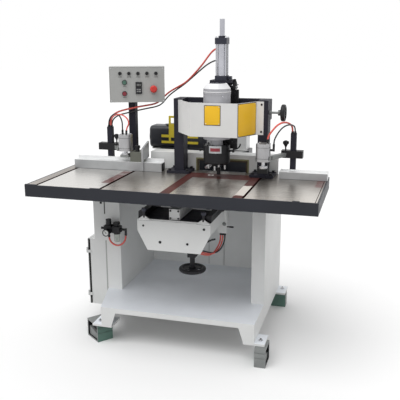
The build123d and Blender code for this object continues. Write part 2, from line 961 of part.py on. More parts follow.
with BuildPart() as upper_cap:
    block(cap_x, cap_y, (barrel_top, upper_cap_top))
    bar_z(gantry_x, cylinder_y, (upper_cap_top, neck_top), neck_radius)
    bar_z(gantry_x, cylinder_y, (neck_top, machine_top), sleeve_radius)
    bar_z(gantry_x, cylinder_y, (barrel_top, machine_top - sleeve_roof), sleeve_bore, Mode.SUBTRACT)
    elbow_top = centre((barrel_top, upper_cap_top))
    inlet_x = gantry_x - elbow_reach
    inlet_z = barrel_top - elbow_drop
    bar_y(gantry_x, (cap_y[1], elbow_y), elbow_top, elbow_radius)
    bar_z(gantry_x, elbow_y, (inlet_z - elbow_radius, elbow_top + elbow_radius), elbow_radius)
    bar_x((inlet_x, gantry_x), elbow_y, inlet_z, elbow_radius)

with BuildPart() as tie_rods:
    for dx in (-tie_rod_offset, tie_rod_offset):
        for dy in (-tie_rod_offset, tie_rod_offset):
            bar_z(gantry_x + dx, cylinder_y + dy, (barrel_bottom, barrel_top), tie_rod_radius)

save_group((lower_cap, barrel_tube, upper_cap, tie_rods), "feed_cylinder")

# Feed rod with its piston, tail rod and the tee that hangs in the head's slot
with BuildPart() as feed_rod:
    piston_bottom = barrel_bottom + piston_lift
    bar_z(gantry_x, cylinder_y, (t_head_bottom, t_head_bottom + t_head_height), t_head_radius)
    bar_z(gantry_x, cylinder_y, (t_head_bottom, piston_bottom), feed_rod_radius)
    bar_z(gantry_x, cylinder_y, (piston_bottom, piston_bottom + piston_height), cylinder_bore - running_fit)
    bar_z(gantry_x, cylinder_y, (piston_bottom, tail_rod_top), tail_rod_radius)
save(feed_rod, "feed_rod")

# Cross carriage: plate, shoes on the beam rails, upright head rails and the screw nut
with BuildPart() as cross_carriage:
    carriage_x = around(gantry_x, carriage_width)
    block(carriage_x, (carriage_front, carriage_rear), (carriage_bottom, carriage_top))
    block(around(gantry_x, carriage_slot), (carriage_front, carriage_rear),
          (carriage_slot_bottom, carriage_top),
          Mode.SUBTRACT)
    for height in beam_rail_heights:
        shoe_z = around(height, beam_rail + 2 * shoe_lip)
        for shoe_x in (
            (carriage_x[0], gantry_x - carriage_slot / 2),
            (gantry_x + carriage_slot / 2, carriage_x[1]),
        ):
            block(shoe_x, (carriage_rear, post_rear - slide_gap), shoe_z)
        block(carriage_x, (post_rear - beam_rail_proud - slide_gap, post_rear),
              around(height, beam_rail + 2 * slide_gap), Mode.SUBTRACT)
    for rail_x in around(gantry_x, 2 * head_rail_offset):
        block(around(rail_x, head_rail), (carriage_front - head_rail_proud, carriage_front),
              (carriage_bottom, carriage_top))
    nut_x = (carriage_x[1], carriage_x[1] + nut_length)
    block(nut_x, (cylinder_y - nut_height / 2, carriage_rear), around(cross_screw_z, nut_height))
    bar_x(nut_x, cylinder_y, cross_screw_z, cross_screw_radius + running_fit, Mode.SUBTRACT)
save(cross_carriage, "cross_carriage")

# Cross screw with its handwheel
with BuildPart() as cross_handwheel:
    post_face = right_post_x + post_width / 2
    bar_x((cross_screw_start, cross_wheel_x), cylinder_y, cross_screw_z, cross_screw_radius)
    bar_x((post_face + seat_gap, post_face + seat_gap + cross_collar_length), cylinder_y, cross_screw_z,
          cross_collar_radius)
    bar_x((cross_wheel_x - cross_hub_length, cross_wheel_x), cylinder_y, cross_screw_z, cross_hub_radius)
    bar_x((cross_wheel_x, cross_wheel_x + cross_wheel_width), cylinder_y, cross_screw_z, cross_wheel_radius)
    rim_edges = cross_handwheel.edges().filter_by(GeomType.CIRCLE).group_by(SortBy.RADIUS)[-1]
    fillet(rim_edges, cross_wheel_width / 3)
    dish = (cross_wheel_x + cross_wheel_width - cross_wheel_dish, cross_wheel_x + cross_wheel_width)
    bar_x(dish, cylinder_y, cross_screw_z, cross_wheel_radius - cross_wheel_rim, Mode.SUBTRACT)
    bar_x(dish, cylinder_y, cross_screw_z, cross_hub_radius)
save(cross_handwheel, "cross_handwheel")

# Head slide: plate with shoes on the upright rails, a saddle for the motor and the tee slot
with BuildPart() as head_slide:
    slot_side = t_head_radius + slide_gap
    mouth_side = feed_rod_radius + slide_gap
    t_block_x = around(gantry_x, t_block_width)
    block(around(gantry_x, head_plate_width), (head_plate_front, head_plate_rear),
          (head_plate_bottom, head_plate_top))
    for rail_x in around(gantry_x, 2 * head_rail_offset):
        for heights in head_shoe_heights:
            block(around(rail_x, head_rail + 2 * shoe_lip),
                  (head_plate_rear, carriage_front - slide_gap), heights)
        block(around(rail_x, head_rail + 2 * slide_gap),
              (carriage_front - head_rail_proud - slide_gap, carriage_front),
              (head_plate_bottom, head_plate_top),
              Mode.SUBTRACT)
    block(around(gantry_x, saddle_block_width), (motor_y, head_plate_front), saddle_block_heights)
    bar_z(gantry_x, motor_y, saddle_block_heights, motor_radius, Mode.SUBTRACT)
    block(t_block_x, (head_plate_front, cylinder_y + slot_side + shoe_lip), (t_block_bottom, t_block_top))
    block(t_block_x, around(cylinder_y, 2 * slot_side),
          (t_head_bottom - slide_gap, t_head_bottom + t_head_height + slide_gap), Mode.SUBTRACT)
    block(t_block_x, around(cylinder_y, 2 * mouth_side), (t_head_bottom, t_block_top), Mode.SUBTRACT)
save(head_slide, "head_slide")

# Drill motor with a banded shell, a crowned top and a nose over the drill head
with BuildPart() as drill_motor:
    shell = (
        (0, drill_head_top),
        (nose_radius, drill_head_top),
        (nose_radius, motor_bottom),
        (motor_radius, motor_bottom),
        (motor_radius, motor_band[0]),
        (motor_radius + motor_band_proud, motor_band[0]),
        (motor_radius + motor_band_proud, motor_band[1]),
        (motor_radius, motor_band[1]),
        (motor_radius, motor_shoulder),
        (motor_crown_radius, motor_top),
        (0, motor_top),
    )
    ring_profile(shell, gantry_x, motor_y)
    bar_z(gantry_x, motor_y, (drill_head_top, drive_shaft_top + seat_gap), drive_shaft_radius + running_fit,
          Mode.SUBTRACT)
save(drill_motor, "drill_motor")

# Drill head housing: a cup for the gears and the cover that closes it
drill_places = [
    (gantry_x + gear_spacing * math.cos(math.radians(turn)),
     motor_y + gear_spacing * math.sin(math.radians(turn)))
    for turn in (0, 90, 180, 270)
]
cover_bottom = drill_head_top - drill_head_cover
with BuildPart() as gear_cup:
    bar_z(gantry_x, motor_y, (drill_head_bottom, cover_bottom), drill_head_radius)
    chamfer(gear_cup.edges().filter_by(GeomType.CIRCLE).sort_by(Axis.Z)[0], drill_head_chamfer)
    bar_z(gantry_x, motor_y, (drill_head_bottom + drill_head_floor, cover_bottom),
          drill_head_radius - drill_head_wall, Mode.SUBTRACT)
    for x, y in drill_places:
        bar_z(x, y, (drill_head_bottom, drill_head_bottom + drill_head_floor),
              drill_shaft_radius + running_fit,
              Mode.SUBTRACT)

with BuildPart() as gear_cover:
    bar_z(gantry_x, motor_y, (cover_bottom, drill_head_top), drill_head_radius)
    bar_z(gantry_x, motor_y, (cover_bottom, drill_head_top), drive_shaft_radius + running_fit, Mode.SUBTRACT)

save_group((gear_cup, gear_cover), "drill_head_housing")

# Drive spindle with the central gear
with BuildPart() as drive_spindle:
    gear(gantry_x, motor_y, drive_teeth, 0)
    bar_z(gantry_x, motor_y, (drive_shaft_bottom, drive_shaft_top), drive_shaft_radius)
save(drive_spindle, "drive_spindle")

# Drill spindles: gear, shaft, collet nut and bit, with a cutter on the rear one
for number, (turn, (x, y)) in enumerate(zip((0, 90, 180, 270), drill_places), start=1):
    with BuildPart() as drill_spindle:
        gear(x, y, drill_teeth, turn + 180 + 180 / drill_teeth)
        nut_bottom = drill_head_bottom - seat_gap - collet_nut_height
        bar_z(x, y, (nut_bottom, drill_shaft_top), drill_shaft_radius)
        bar_z(x, y, (nut_bottom, drill_head_bottom - seat_gap), collet_nut_radius)
        bar_z(x, y, (drill_bit_bottom, nut_bottom), drill_bit_radius)
        if turn == 90:
            bar_z(x, y, (cutter_tip, drill_bit_bottom), cutter_radius)
    save(drill_spindle, f"drill_spindle_{number}")

# Knee hanger: a plate under the table with two upright guides, lower stops and the lift nut
guide_places = (knee_x - guide_offset, knee_x + guide_offset)
rail_spans = (
    (knee_left, knee_left + knee_rail_width),
    (knee_right - knee_rail_width, knee_right),
)
with BuildPart() as knee_hanger:
    hanger_y = (hanger_front, hanger_rear)
    block(hanger_ends, hanger_y, (hanger_bottom, frame_ceiling))
    for guide_x in guide_places:
        block(around(guide_x, guide_width), (hanger_front - guide_proud, hanger_front),
              (hanger_bottom, guide_top))
        block(around(guide_x, knee_shoe_width), (hanger_front - 2 * guide_proud, hanger_front),
              (hanger_bottom, knee_shoe_bottom - seat_gap))
    gap = 2 * slide_gap + base_sheet
    for span in rail_spans:
        block((span[0] - gap, span[1] + gap), hanger_y, (knee_top - gap, knee_rail_top + lift_travel + gap),
              Mode.SUBTRACT)
    block(around(knee_x, 2 * plunge_rod_radius + 2 * gap), hanger_y,
          (plunge_z - plunge_rod_radius - gap, plunge_z + plunge_rod_radius + lift_travel + gap),
          Mode.SUBTRACT)
    nut_z = (nut_block_bottom, nut_block_bottom + nut_block_height)
    block(around(lift_x, nut_block_width), (lift_y - nut_block_width / 2, hanger_front), nut_z)
    bar_z(lift_x, lift_y, nut_z, lift_screw_radius + running_fit, Mode.SUBTRACT)
save(knee_hanger, "knee_hanger")

# Knee: front plate, side plates, shoes on the guides, tray, right bracket and manifold
with BuildPart() as knee:
    tray_x = around(lift_x, knee_tray_width)
    front_outline = (
        (knee_left, knee_top),
        (knee_left, knee_shoulder),
        (knee_x - knee_bottom_width / 2, knee_bottom),
        (knee_x + knee_bottom_width / 2, knee_bottom),
        (knee_right, knee_shoulder),
        (knee_right, knee_top),
    )
    plate_xz(front_outline, (knee_front, knee_front + knee_plate))
    shoe_y = (hanger_front - guide_proud - knee_plate, hanger_front - slide_gap)
    shoe_z = (knee_shoe_bottom, knee_shoe_bottom + knee_shoe_height)
    for side, wall in ((0, (knee_left, knee_left + knee_plate)), (1, (knee_right - knee_plate, knee_right))):
        block(wall, (knee_front, shoe_y[0]), (knee_shoulder, knee_top))
        guide_x = guide_places[side]
        block((guide_x, centre(wall)), (shoe_y[0] - knee_plate, shoe_y[0]), (knee_shoulder, knee_top))
        block(around(guide_x, knee_shoe_width), (shoe_y[0] - knee_plate, shoe_y[1]), shoe_z)
        block(around(guide_x, guide_width + 2 * slide_gap),
              (hanger_front - guide_proud - slide_gap, hanger_front),
              shoe_z, Mode.SUBTRACT)
    block((knee_left, knee_right),
          (knee_front + knee_plate / 2, knee_front + knee_plate + plunge_body_length),
          (knee_top, plunge_z - plunge_body / 2))
    block(tray_x, (knee_front, lift_y + 2 * lift_collar_radius),
          (knee_tray_bottom, knee_tray_bottom + knee_tray_plate))
    bar_z(lift_x, lift_y, (knee_tray_bottom, knee_tray_bottom + knee_tray_plate),
          lift_screw_radius + running_fit,
          Mode.SUBTRACT)
    block(bracket_ends, (shoe_y[0] - knee_plate, shoe_y[0]), (bracket_drop, knee_top))
    manifold_x = (tray_x[1] - manifold_size[0], tray_x[1])
    manifold_z = (knee_tray_bottom - manifold_size[2], knee_tray_bottom)
    block(manifold_x, (manifold_front, manifold_front + manifold_size[1]), manifold_z)
    stop_top = knee_top + stop_pad_height + stop_bolt_height
    for pad_x in (knee_left + stop_bolt_inset, knee_right - stop_bolt_inset):
        pad = (
            (pad_x - stop_pad_base / 2, knee_top),
            (pad_x + stop_pad_base / 2, knee_top),
            (pad_x, knee_top + 2 * stop_pad_height),
        )
        plate_xz(pad, (knee_front, knee_front + knee_plate))
        bar_z(pad_x, knee_front + knee_plate / 2,
              (knee_top + stop_pad_height, stop_top), stop_bolt_radius)
        bar_z(pad_x, knee_front + knee_plate / 2, (stop_top - stop_head_height, stop_top), stop_head_radius)
save(knee, "knee")

# Knee rails and the plunge cylinder between them
with BuildPart() as knee_rails:
    for span in rail_spans:
        block(span, (knee_front + knee_plate + plunge_body_length, knee_rail_rear), (knee_top, knee_rail_top))
        block(span, (knee_front + 2 * knee_plate, knee_front + knee_plate + plunge_body_length),
              (plunge_z - plunge_body / 2, knee_rail_top))
    body_y = (knee_front + 2 * knee_plate, knee_front + knee_plate + plunge_body_length)
    block(around(knee_x, plunge_body), body_y, around(plunge_z, plunge_body))
    bar_y(knee_x, (body_y[0] + knee_plate, body_y[1] - knee_plate), plunge_z, plunge_bore, Mode.SUBTRACT)
    bar_y(knee_x, (body_y[1] - knee_plate, body_y[1]),
          plunge_z, plunge_rod_radius + running_fit, Mode.SUBTRACT)
save(knee_rails, "knee_rails")

# Lift screw and handwheel
with BuildPart() as lift_handwheel:
    wheel_z = (lift_wheel_z, lift_wheel_z + lift_hub_height)
    tray_top = knee_tray_bottom + knee_tray_plate
    bar_z(lift_x, lift_y, wheel_z, lift_hub_radius)
    bar_z(lift_x, lift_y, around(centre(wheel_z), lift_web), lift_wheel_radius - lift_wheel_rim)
    with BuildSketch(upright_plane(lift_x, lift_y)):
        with Locations((lift_wheel_radius - lift_wheel_rim, centre(wheel_z))):
            Circle(lift_wheel_rim)
    revolve(axis=Axis((lift_x, lift_y, 0), (0, 0, 1)))
    hole_ring = centre((lift_hub_radius, lift_wheel_radius - 2 * lift_wheel_rim))
    with Locations((lift_x, lift_y, centre(wheel_z))):
        with PolarLocations(hole_ring, lift_wheel_holes):
            Cylinder(lift_hole_radius, lift_hub_height, mode=Mode.SUBTRACT)
    bar_z(lift_x, lift_y, (lift_wheel_z, knee_tray_bottom - lift_collar_height), lift_shaft_radius)
    bar_z(lift_x, lift_y, (lift_wheel_z, lift_screw_top), lift_screw_radius)
    bar_z(lift_x, lift_y, (knee_tray_bottom - lift_collar_height - seat_gap, knee_tray_bottom - seat_gap),
          lift_collar_radius)
    bar_z(lift_x, lift_y, (tray_top + seat_gap, tray_top + seat_gap + lift_collar_height), lift_collar_radius)
save(lift_handwheel, "lift_handwheel")

# Saddle on the knee rails, with the plunge rod, its piston and the two cross bars
saddle_y = (saddle_front, saddle_rear)
bar_places = around(centre(saddle_y), 2 * cross_bar_offset)
with BuildPart() as saddle:
    block(saddle_ends, saddle_y, (bed_top, saddle_top))
    for span in rail_spans:
        shoe_x = (span[0] - saddle_lip, span[1] + saddle_lip)
        block(shoe_x, saddle_y, (plunge_z - plunge_body / 2, bed_top))
        block((span[0] - slide_gap, span[1] + slide_gap), saddle_y, (knee_top, knee_rail_top + slide_gap),
              Mode.SUBTRACT)
    lug_y = (saddle_front, saddle_front + cross_bar_block)
    block(around(knee_x, plunge_body), lug_y, (plunge_z - plunge_rod_radius - saddle_lip, bed_top))
    piston_y = (body_y[1] - knee_plate - piston_lift - piston_height, body_y[1] - knee_plate - piston_lift)
    bar_y(knee_x, (piston_y[0], lug_y[1]), plunge_z, plunge_rod_radius)
    bar_y(knee_x, piston_y, plunge_z, plunge_bore - running_fit)
    for end in (
        (saddle_ends[0], saddle_ends[0] + cross_bar_block),
        (saddle_ends[1] - cross_bar_block, saddle_ends[1]),
    ):
        block(end, saddle_y, (saddle_top, cross_bar_height + cross_bar_radius + cross_bar_cover))
    for bar_place in bar_places:
        bar_x(saddle_ends, bar_place, cross_bar_height, cross_bar_radius)
save(saddle, "saddle")

# Mortising unit: traverse plate on the cross bars, spindle motor with quill, riser and swing motor
spindle_motor_y = (spindle_motor_front, spindle_motor_rear)
unit_y = (unit_front, unit_front + unit_depth)
with BuildPart() as mortise_unit:
    block(traverse_ends, saddle_y, (traverse_bottom, traverse_top))
    for bar_place in bar_places:
        for bearing in (
            (traverse_ends[0] + bearing_inset, traverse_ends[0] + bearing_inset + bearing_length),
            (traverse_ends[1] - bearing_inset - bearing_length, traverse_ends[1] - bearing_inset),
        ):
            block(bearing, around(bar_place, bearing_width),
                  (cross_bar_height - cross_bar_radius - bearing_wall, traverse_bottom))
            bar_x(bearing, bar_place, cross_bar_height, cross_bar_radius + running_fit, Mode.SUBTRACT)
    block(around(spindle_x, cradle_width), unit_y, (traverse_top, spindle_z))
    bar_y(spindle_x, spindle_motor_y, spindle_z, spindle_motor_radius)
    bar_y(spindle_x, (quill_front, spindle_motor_front), spindle_z, quill_radius)
    for leg in (
        (traverse_ends[0], traverse_ends[0] + riser_leg),
        (traverse_ends[1] - riser_leg, traverse_ends[1]),
    ):
        block(leg, unit_y, (traverse_top, riser_top))
    block(traverse_ends, unit_y, (riser_top - riser_plate, riser_top))
    block(traverse_ends, (unit_front - riser_plate, unit_front), (traverse_top, riser_top))
    bar_x(swing_motor_ends, swing_motor_y, swing_motor_z, swing_motor_radius)
    block(gear_case_ends, unit_y, (riser_top, gear_case_top))
    block(terminal_ends, unit_y, (riser_top, terminal_top))
    bar_y(spindle_x, (quill_front, spindle_motor_rear - motor_end_wall), spindle_z,
          mortise_shaft_radius + running_fit, Mode.SUBTRACT)
save(mortise_unit, "mortise_unit")

# Strap bracket on the gear case, with an upright bar and a hook for the cable
with BuildPart() as mortise_bracket:
    strap_y = (unit_front - strap_thickness, unit_front)
    upright = around(strap_post_x, strap_post_width)
    hook = (upright[0], upright[0] + strap_hook)
    for heights in strap_heights:
        block(strap_ends, strap_y, heights)
    block(upright, strap_y, (strap_heights[0][0], strap_post_top))
    block(strap_tab_ends, strap_y, (strap_heights[1][0], strap_tab_top))
    block(hook, strap_y, (strap_post_top - strap_post_width, strap_post_top))
    block((hook[1] - strap_post_width, hook[1]), strap_y, (strap_post_top - strap_hook_drop, strap_post_top))
save(mortise_bracket, "mortise_bracket")

# Mortising spindle with its collet and bit
with BuildPart() as mortise_spindle:
    collet_y = (quill_front - collet_length, quill_front - seat_gap)
    bar_y(spindle_x, (collet_y[0], spindle_motor_rear - motor_end_wall - seat_gap),
          spindle_z, mortise_shaft_radius)
    bar_y(spindle_x, collet_y, spindle_z, collet_radius)
    bar_y(spindle_x, (collet_y[0] - bit_length, collet_y[0]), spindle_z, bit_radius)
save(mortise_spindle, "mortise_spindle")

# Control post behind the table
with BuildPart() as control_post:
    outer = around(control_post_x, control_post_size)
    post_y = (table_rear, table_rear + control_post_size)
    block(outer, post_y, (table_underside, control_box_bottom))
    block((outer[0] + control_sheet, outer[1] - control_sheet),
          (post_y[0] + control_sheet, post_y[1] - control_sheet),
          (table_underside, control_box_bottom - control_sheet), Mode.SUBTRACT)
save(control_post, "control_post")

# Control box, turned towards the operator; its panel plane looks out of the front face
turn = math.radians(control_box_turn)
panel_normal = (math.sin(turn), -math.cos(turn), 0)
panel = Plane(
    origin=(
        control_box_centre[0] + panel_normal[0] * control_box_depth / 2,
        control_box_centre[1] + panel_normal[1] * control_box_depth / 2,
        control_box_bottom + control_box_height / 2,
    ),
    x_dir=(math.cos(turn), math.sin(turn), 0),
    z_dir=panel_normal,
)
selector_places = [
    (selector_row[0] + selector_pitch * step, selector_row[1]) for step in range(selector_count)
]


def disc(place, depth, radius, mode=Mode.ADD):
    """A round piece standing on the control panel between two distances from its face."""
    with BuildSketch(panel.offset(min(depth))) as outline:
        with Locations(place):
            Circle(radius)
    extrude(outline.sketch, amount=length(depth), mode=mode)


def slab(place, size, depth, mode=Mode.ADD):
    """A square-cornered piece on the control panel between two distances from its face."""
    with BuildSketch(panel.offset(min(depth))) as outline:
        with Locations(place):
            Rectangle(*size)
    extrude(outline.sketch, amount=length(depth), mode=mode)


with BuildPart() as control_box:
    slab((0, 0), (control_box_width, control_box_height), (-control_box_depth, 0))
    slab((0, 0), (control_box_width - 2 * control_sheet, control_box_height - 2 * control_sheet),
         (control_sheet - control_box_depth, -control_sheet), Mode.SUBTRACT)
    slab(timer_place, timer_size, (0, timer_proud))
    for places, ring, bore in (
        (selector_places, selector_bezel, selector_radius),
        ((green_place, red_place, stop_place), bezel_radius, push_radius),
    ):
        for place in places:
            disc(place, (0, bezel_proud), ring)
            disc(place, (0, bezel_proud), bore + slide_gap, Mode.SUBTRACT)
            disc(place, (-control_sheet, 0), stem_radius + running_fit, Mode.SUBTRACT)
save(control_box, "control_box")

# Push buttons, emergency button and selectors
for name, place in (("green_button", green_place), ("red_button", red_place)):
    with BuildPart() as push_button:
        disc(place, (-stem_length, push_travel + seat_gap), stem_radius)
        disc(place, (push_travel + seat_gap, push_travel + push_length), push_radius)
    save(push_button, name)

with BuildPart() as emergency_button:
    head_bottom = bezel_proud + stop_travel + seat_gap
    disc(stop_place, (-stem_length, stop_travel + seat_gap), stem_radius)
    disc(stop_place, (stop_travel + seat_gap, head_bottom), stop_neck_radius)
    disc(stop_place, (head_bottom, head_bottom + stop_height), stop_radius)
    rim = emergency_button.edges().filter_by(GeomType.CIRCLE).group_by(SortBy.RADIUS)[-1]
    fillet(rim.sort_by(Axis(panel.origin, panel.z_dir))[-1], stop_height / 2)
save(emergency_button, "emergency_button")

for number, place in enumerate(selector_places, start=1):
    with BuildPart() as selector:
        disc(place, (-stem_length, seat_gap), stem_radius)
        disc(place, (seat_gap, selector_length), selector_radius)
        slab(place, (selector_bar, 2 * selector_radius - selector_bar),
             (selector_length, selector_length + selector_bar))
    save(selector, f"selector_{number}")

# Clamp posts: square tubes with closed tops
with BuildPart() as clamp_posts:
    clamp_y = around(clamp_post_y, clamp_post_size)
    for post_x in clamp_post_x:
        bore = clamp_post_size - 2 * clamp_post_wall
        block(around(post_x, clamp_foot), clamp_y, (table_height, table_height + clamp_foot_height))
        block(around(post_x, clamp_post_size), clamp_y, (table_height, clamp_post_top))
        block(around(post_x, bore), around(clamp_post_y, bore),
              (table_height + clamp_foot_height, clamp_post_top - clamp_post_cap), Mode.SUBTRACT)
save(clamp_posts, "clamp_posts")

# Clamp arms: a block on each post and a bar to the side of its cylinder
with BuildPart() as clamp_arms:
    block_z = (block_bottom, block_bottom + block_height)
    arm_z = (arm_bottom, arm_bottom + arm_height)
    for side, (post_x, shift, knob_x, (clamp_x, clamp_cy)) in enumerate(
        zip(clamp_post_x, block_shift, knob_places, clamp_centres)
    ):
        inward = 1 if side == 0 else -1
        block(around(post_x + shift, block_length), around(clamp_post_y, block_depth), block_z)
        foot_face = clamp_x - inward * clamp_body / 2
        foot = (foot_face - inward * arm_foot, foot_face)
        block(foot, around(clamp_cy, arm_foot_width), arm_z)
        start = Vector(knob_x, clamp_post_y - block_depth / 4)
        end = Vector(centre(foot), clamp_cy)
        across = (end - start).normalized().rotate(Axis.Z, 90) * (arm_width / 2)
        corners = (start - across, start + across, end + across, end - across)
        plate_xy([(corner.X, corner.Y) for corner in corners], arm_z)
        block((foot_face, foot_face + inward * clamp_body), around(clamp_cy, clamp_body),
              arm_z, Mode.SUBTRACT)
        block(around(post_x, clamp_post_size), clamp_y, block_z, Mode.SUBTRACT)
        bar_z(knob_x, clamp_post_y, (block_z[1] - knob_socket - seat_gap, block_z[1]),
              knob_stud_radius + running_fit,
              Mode.SUBTRACT)
save(clamp_arms, "clamp_arms")

# Clamp cylinders with their hose ports
with BuildPart() as clamp_cylinders:
    for (clamp_x, clamp_cy), bottom, ports in zip(clamp_centres, clamp_bottoms, top_ports):
        top = bottom + clamp_body_height
        with BuildSketch(Plane.XY.offset(bottom)):
            with Locations((clamp_x, clamp_cy)):
                RectangleRounded(clamp_body, clamp_body, clamp_edge)
        extrude(amount=clamp_body_height)
        bar_z(clamp_x, clamp_cy, (bottom, bottom + clamp_bore_depth + seat_gap),
              clamp_rod_radius + running_fit,
              Mode.SUBTRACT)
        for dx, dy in ports:
            bar_z(clamp_x + dx, clamp_cy + dy, (top, top + port_height), port_radius)
    right_x, right_y = clamp_centres[1]
    port_z = clamp_bottoms[1] + side_port_z
    port_x = right_x + clamp_body / 2 + side_port_reach
    bar_x((right_x + clamp_body / 2, port_x), right_y + side_port_y, port_z, port_radius)
    bar_z(port_x, right_y + side_port_y, (port_z - port_radius, port_z + side_port_rise), port_radius)
save(clamp_cylinders, "clamp_cylinders")

# Clamp plungers: rod, plate and pad
for name, (clamp_x, clamp_cy), bottom, gap_below, plate_height, pad_height in zip(
    ("left_plunger", "right_plunger"), clamp_centres, clamp_bottoms, pad_gaps, pad_plates, pad_heights
):
    with BuildPart() as plunger:
        plate_bottom = bottom - gap_below - plate_height
        bar_z(clamp_x, clamp_cy, (plate_bottom, bottom + clamp_bore_depth), clamp_rod_radius)
        bar_z(clamp_x, clamp_cy, (plate_bottom, plate_bottom + plate_height), pad_plate_radius)
        with BuildSketch(Plane.XY.offset(plate_bottom - pad_height)):
            with Locations((clamp_x, clamp_cy)):
                RectangleRounded(pad_size, pad_size, pad_corner)
        extrude(amount=pad_height)
    save(plunger, name)

# Star knobs on the clamp blocks
block_top = block_bottom + block_height
for name, knob_x in zip(("left_star_knob", "right_star_knob"), knob_places):
    with BuildPart() as clamp_knob:
        star_knob(knob_x, clamp_post_y, block_top + knob_stud_length)
        bar_z(knob_x, clamp_post_y, (block_top - knob_socket, block_top + knob_stud_length), knob_stud_radius)
    save(clamp_knob, name)

# Stop carrier on the left fence, its knob and the flip stop
left_bar_top = table_height + left_fence_heights[0]
left_lip_top = table_height + left_fence_heights[1]
carrier_top = left_bar_top + carrier_height
fin_pivot_y = fence_front + fin_pivot_setback
fin_pivot_z = left_lip_top + seat_gap + fin_heel
carrier_y = (fence_front + carrier_setback, fence_rear - fence_lip - seat_gap)
carrier_knob = (centre(carrier_ends), centre(carrier_y))
with BuildPart() as stop_carrier:
    block(carrier_ends, carrier_y, (left_bar_top, carrier_top))
    block(carrier_ends, (carrier_y[0], fence_rear + carrier_overhang), (left_lip_top + seat_gap, carrier_top))
    bar_x((carrier_ends[1] - fin_thickness, carrier_ends[1] + fin_thickness + 2 * seat_gap),
          fin_pivot_y, fin_pivot_z,
          fin_pin_radius)
    bar_z(*carrier_knob, (carrier_top - knob_socket - seat_gap, carrier_top), knob_stud_radius + running_fit,
          Mode.SUBTRACT)
save(stop_carrier, "stop_carrier")

with BuildPart() as stop_knob:
    ring_top = carrier_top + seat_gap + carrier_ring_height
    bar_z(*carrier_knob, (carrier_top - knob_socket, ring_top), knob_stud_radius)
    bar_z(*carrier_knob, (carrier_top + seat_gap, ring_top), carrier_ring_radius)
    star_knob(*carrier_knob, ring_top)
save(stop_knob, "stop_knob")

with BuildPart() as flip_stop:
    fin_x = (carrier_ends[1] + seat_gap, carrier_ends[1] + seat_gap + fin_thickness)
    leg_rear = fence_front - seat_gap
    leg_front = leg_rear - fin_leg
    heel_z = fin_pivot_z - fin_heel
    heel_y = fin_pivot_y + fin_heel
    with BuildSketch(Plane.YZ.offset(fin_x[0])):
        with BuildLine():
            Polyline(
                (fin_pivot_y, heel_z),
                (leg_rear, heel_z),
                (leg_rear, table_height + fin_leg_lift),
                (leg_front, table_height + fin_leg_lift),
                (leg_front, left_bar_top + fin_front_rise),
                (heel_y, left_bar_top + fin_tip_rise),
                (heel_y, fin_pivot_z),
            )
            RadiusArc((heel_y, fin_pivot_z), (fin_pivot_y, heel_z), fin_heel)
        make_face()
    extrude(amount=fin_thickness)
    bar_x(fin_x, fin_pivot_y, fin_pivot_z, fin_pin_radius + running_fit, Mode.SUBTRACT)
save(flip_stop, "flip_stop")

# Air service unit on the left column: regulator with gauge, lubricator with bowl, elbows and bracket
with BuildPart() as service_body:
    regulator_side = around(regulator_x, regulator_body)
    lubricator_side = around(lubricator_x, lubricator_body)
    block(regulator_side, around(service_y, regulator_body), regulator_heights)
    block(lubricator_side, around(service_y, lubricator_body), lubricator_heights)
    bar_z(lubricator_x, service_y, (lubricator_heights[1], lubricator_cap_heights[1]), lubricator_neck_radius)
    bar_z(lubricator_x, service_y, lubricator_cap_heights, lubricator_cap_radius)
    joint_z = around(centre(regulator_heights), service_bracket)
    block((regulator_x, lubricator_x), around(service_y, service_bracket), joint_z)
    block(around(centre((regulator_x, lubricator_x)), regulator_body), (service_y, column_front), joint_z)
    elbow_level = centre(regulator_heights)
    bar_x((lubricator_side[1], service_elbow_x), service_y, elbow_level, service_elbow_radius)
    bar_z(service_elbow_x, service_y, (elbow_level - service_elbow_drop, elbow_level + service_elbow_radius),
          service_elbow_radius)
    bar_x((service_elbow_left, regulator_side[0]), service_y, elbow_level, service_elbow_radius)
    bar_z(regulator_x, service_y, (regulator_heights[0] - service_bracket, regulator_heights[0]),
          service_elbow_radius)
    bar_y(gauge_x, (service_y - regulator_body / 2 - gauge_depth, service_y),
          gauge_z + gauge_stem, gauge_stem)

with BuildPart() as gauge:
    gauge_rear = service_y - regulator_body / 2 - gauge_depth
    bar_y(gauge_x, (gauge_rear - gauge_depth, gauge_rear), gauge_z, gauge_radius)

with BuildPart() as bowl:
    bar_z(lubricator_x, service_y, (lubricator_heights[0] - bowl_length, lubricator_heights[0]), bowl_radius)
    fillet(bowl.edges().filter_by(GeomType.CIRCLE).sort_by(Axis.Z)[0], bowl_radius / 2)

save_group((service_body, gauge, bowl), "air_service_unit")

with BuildPart() as regulator_knob:
    knob_z = (regulator_heights[1] + seat_gap, regulator_heights[1] + regulator_knob_height)
    bar_z(regulator_x, service_y, knob_z, regulator_knob_radius)
save(regulator_knob, "regulator_knob")

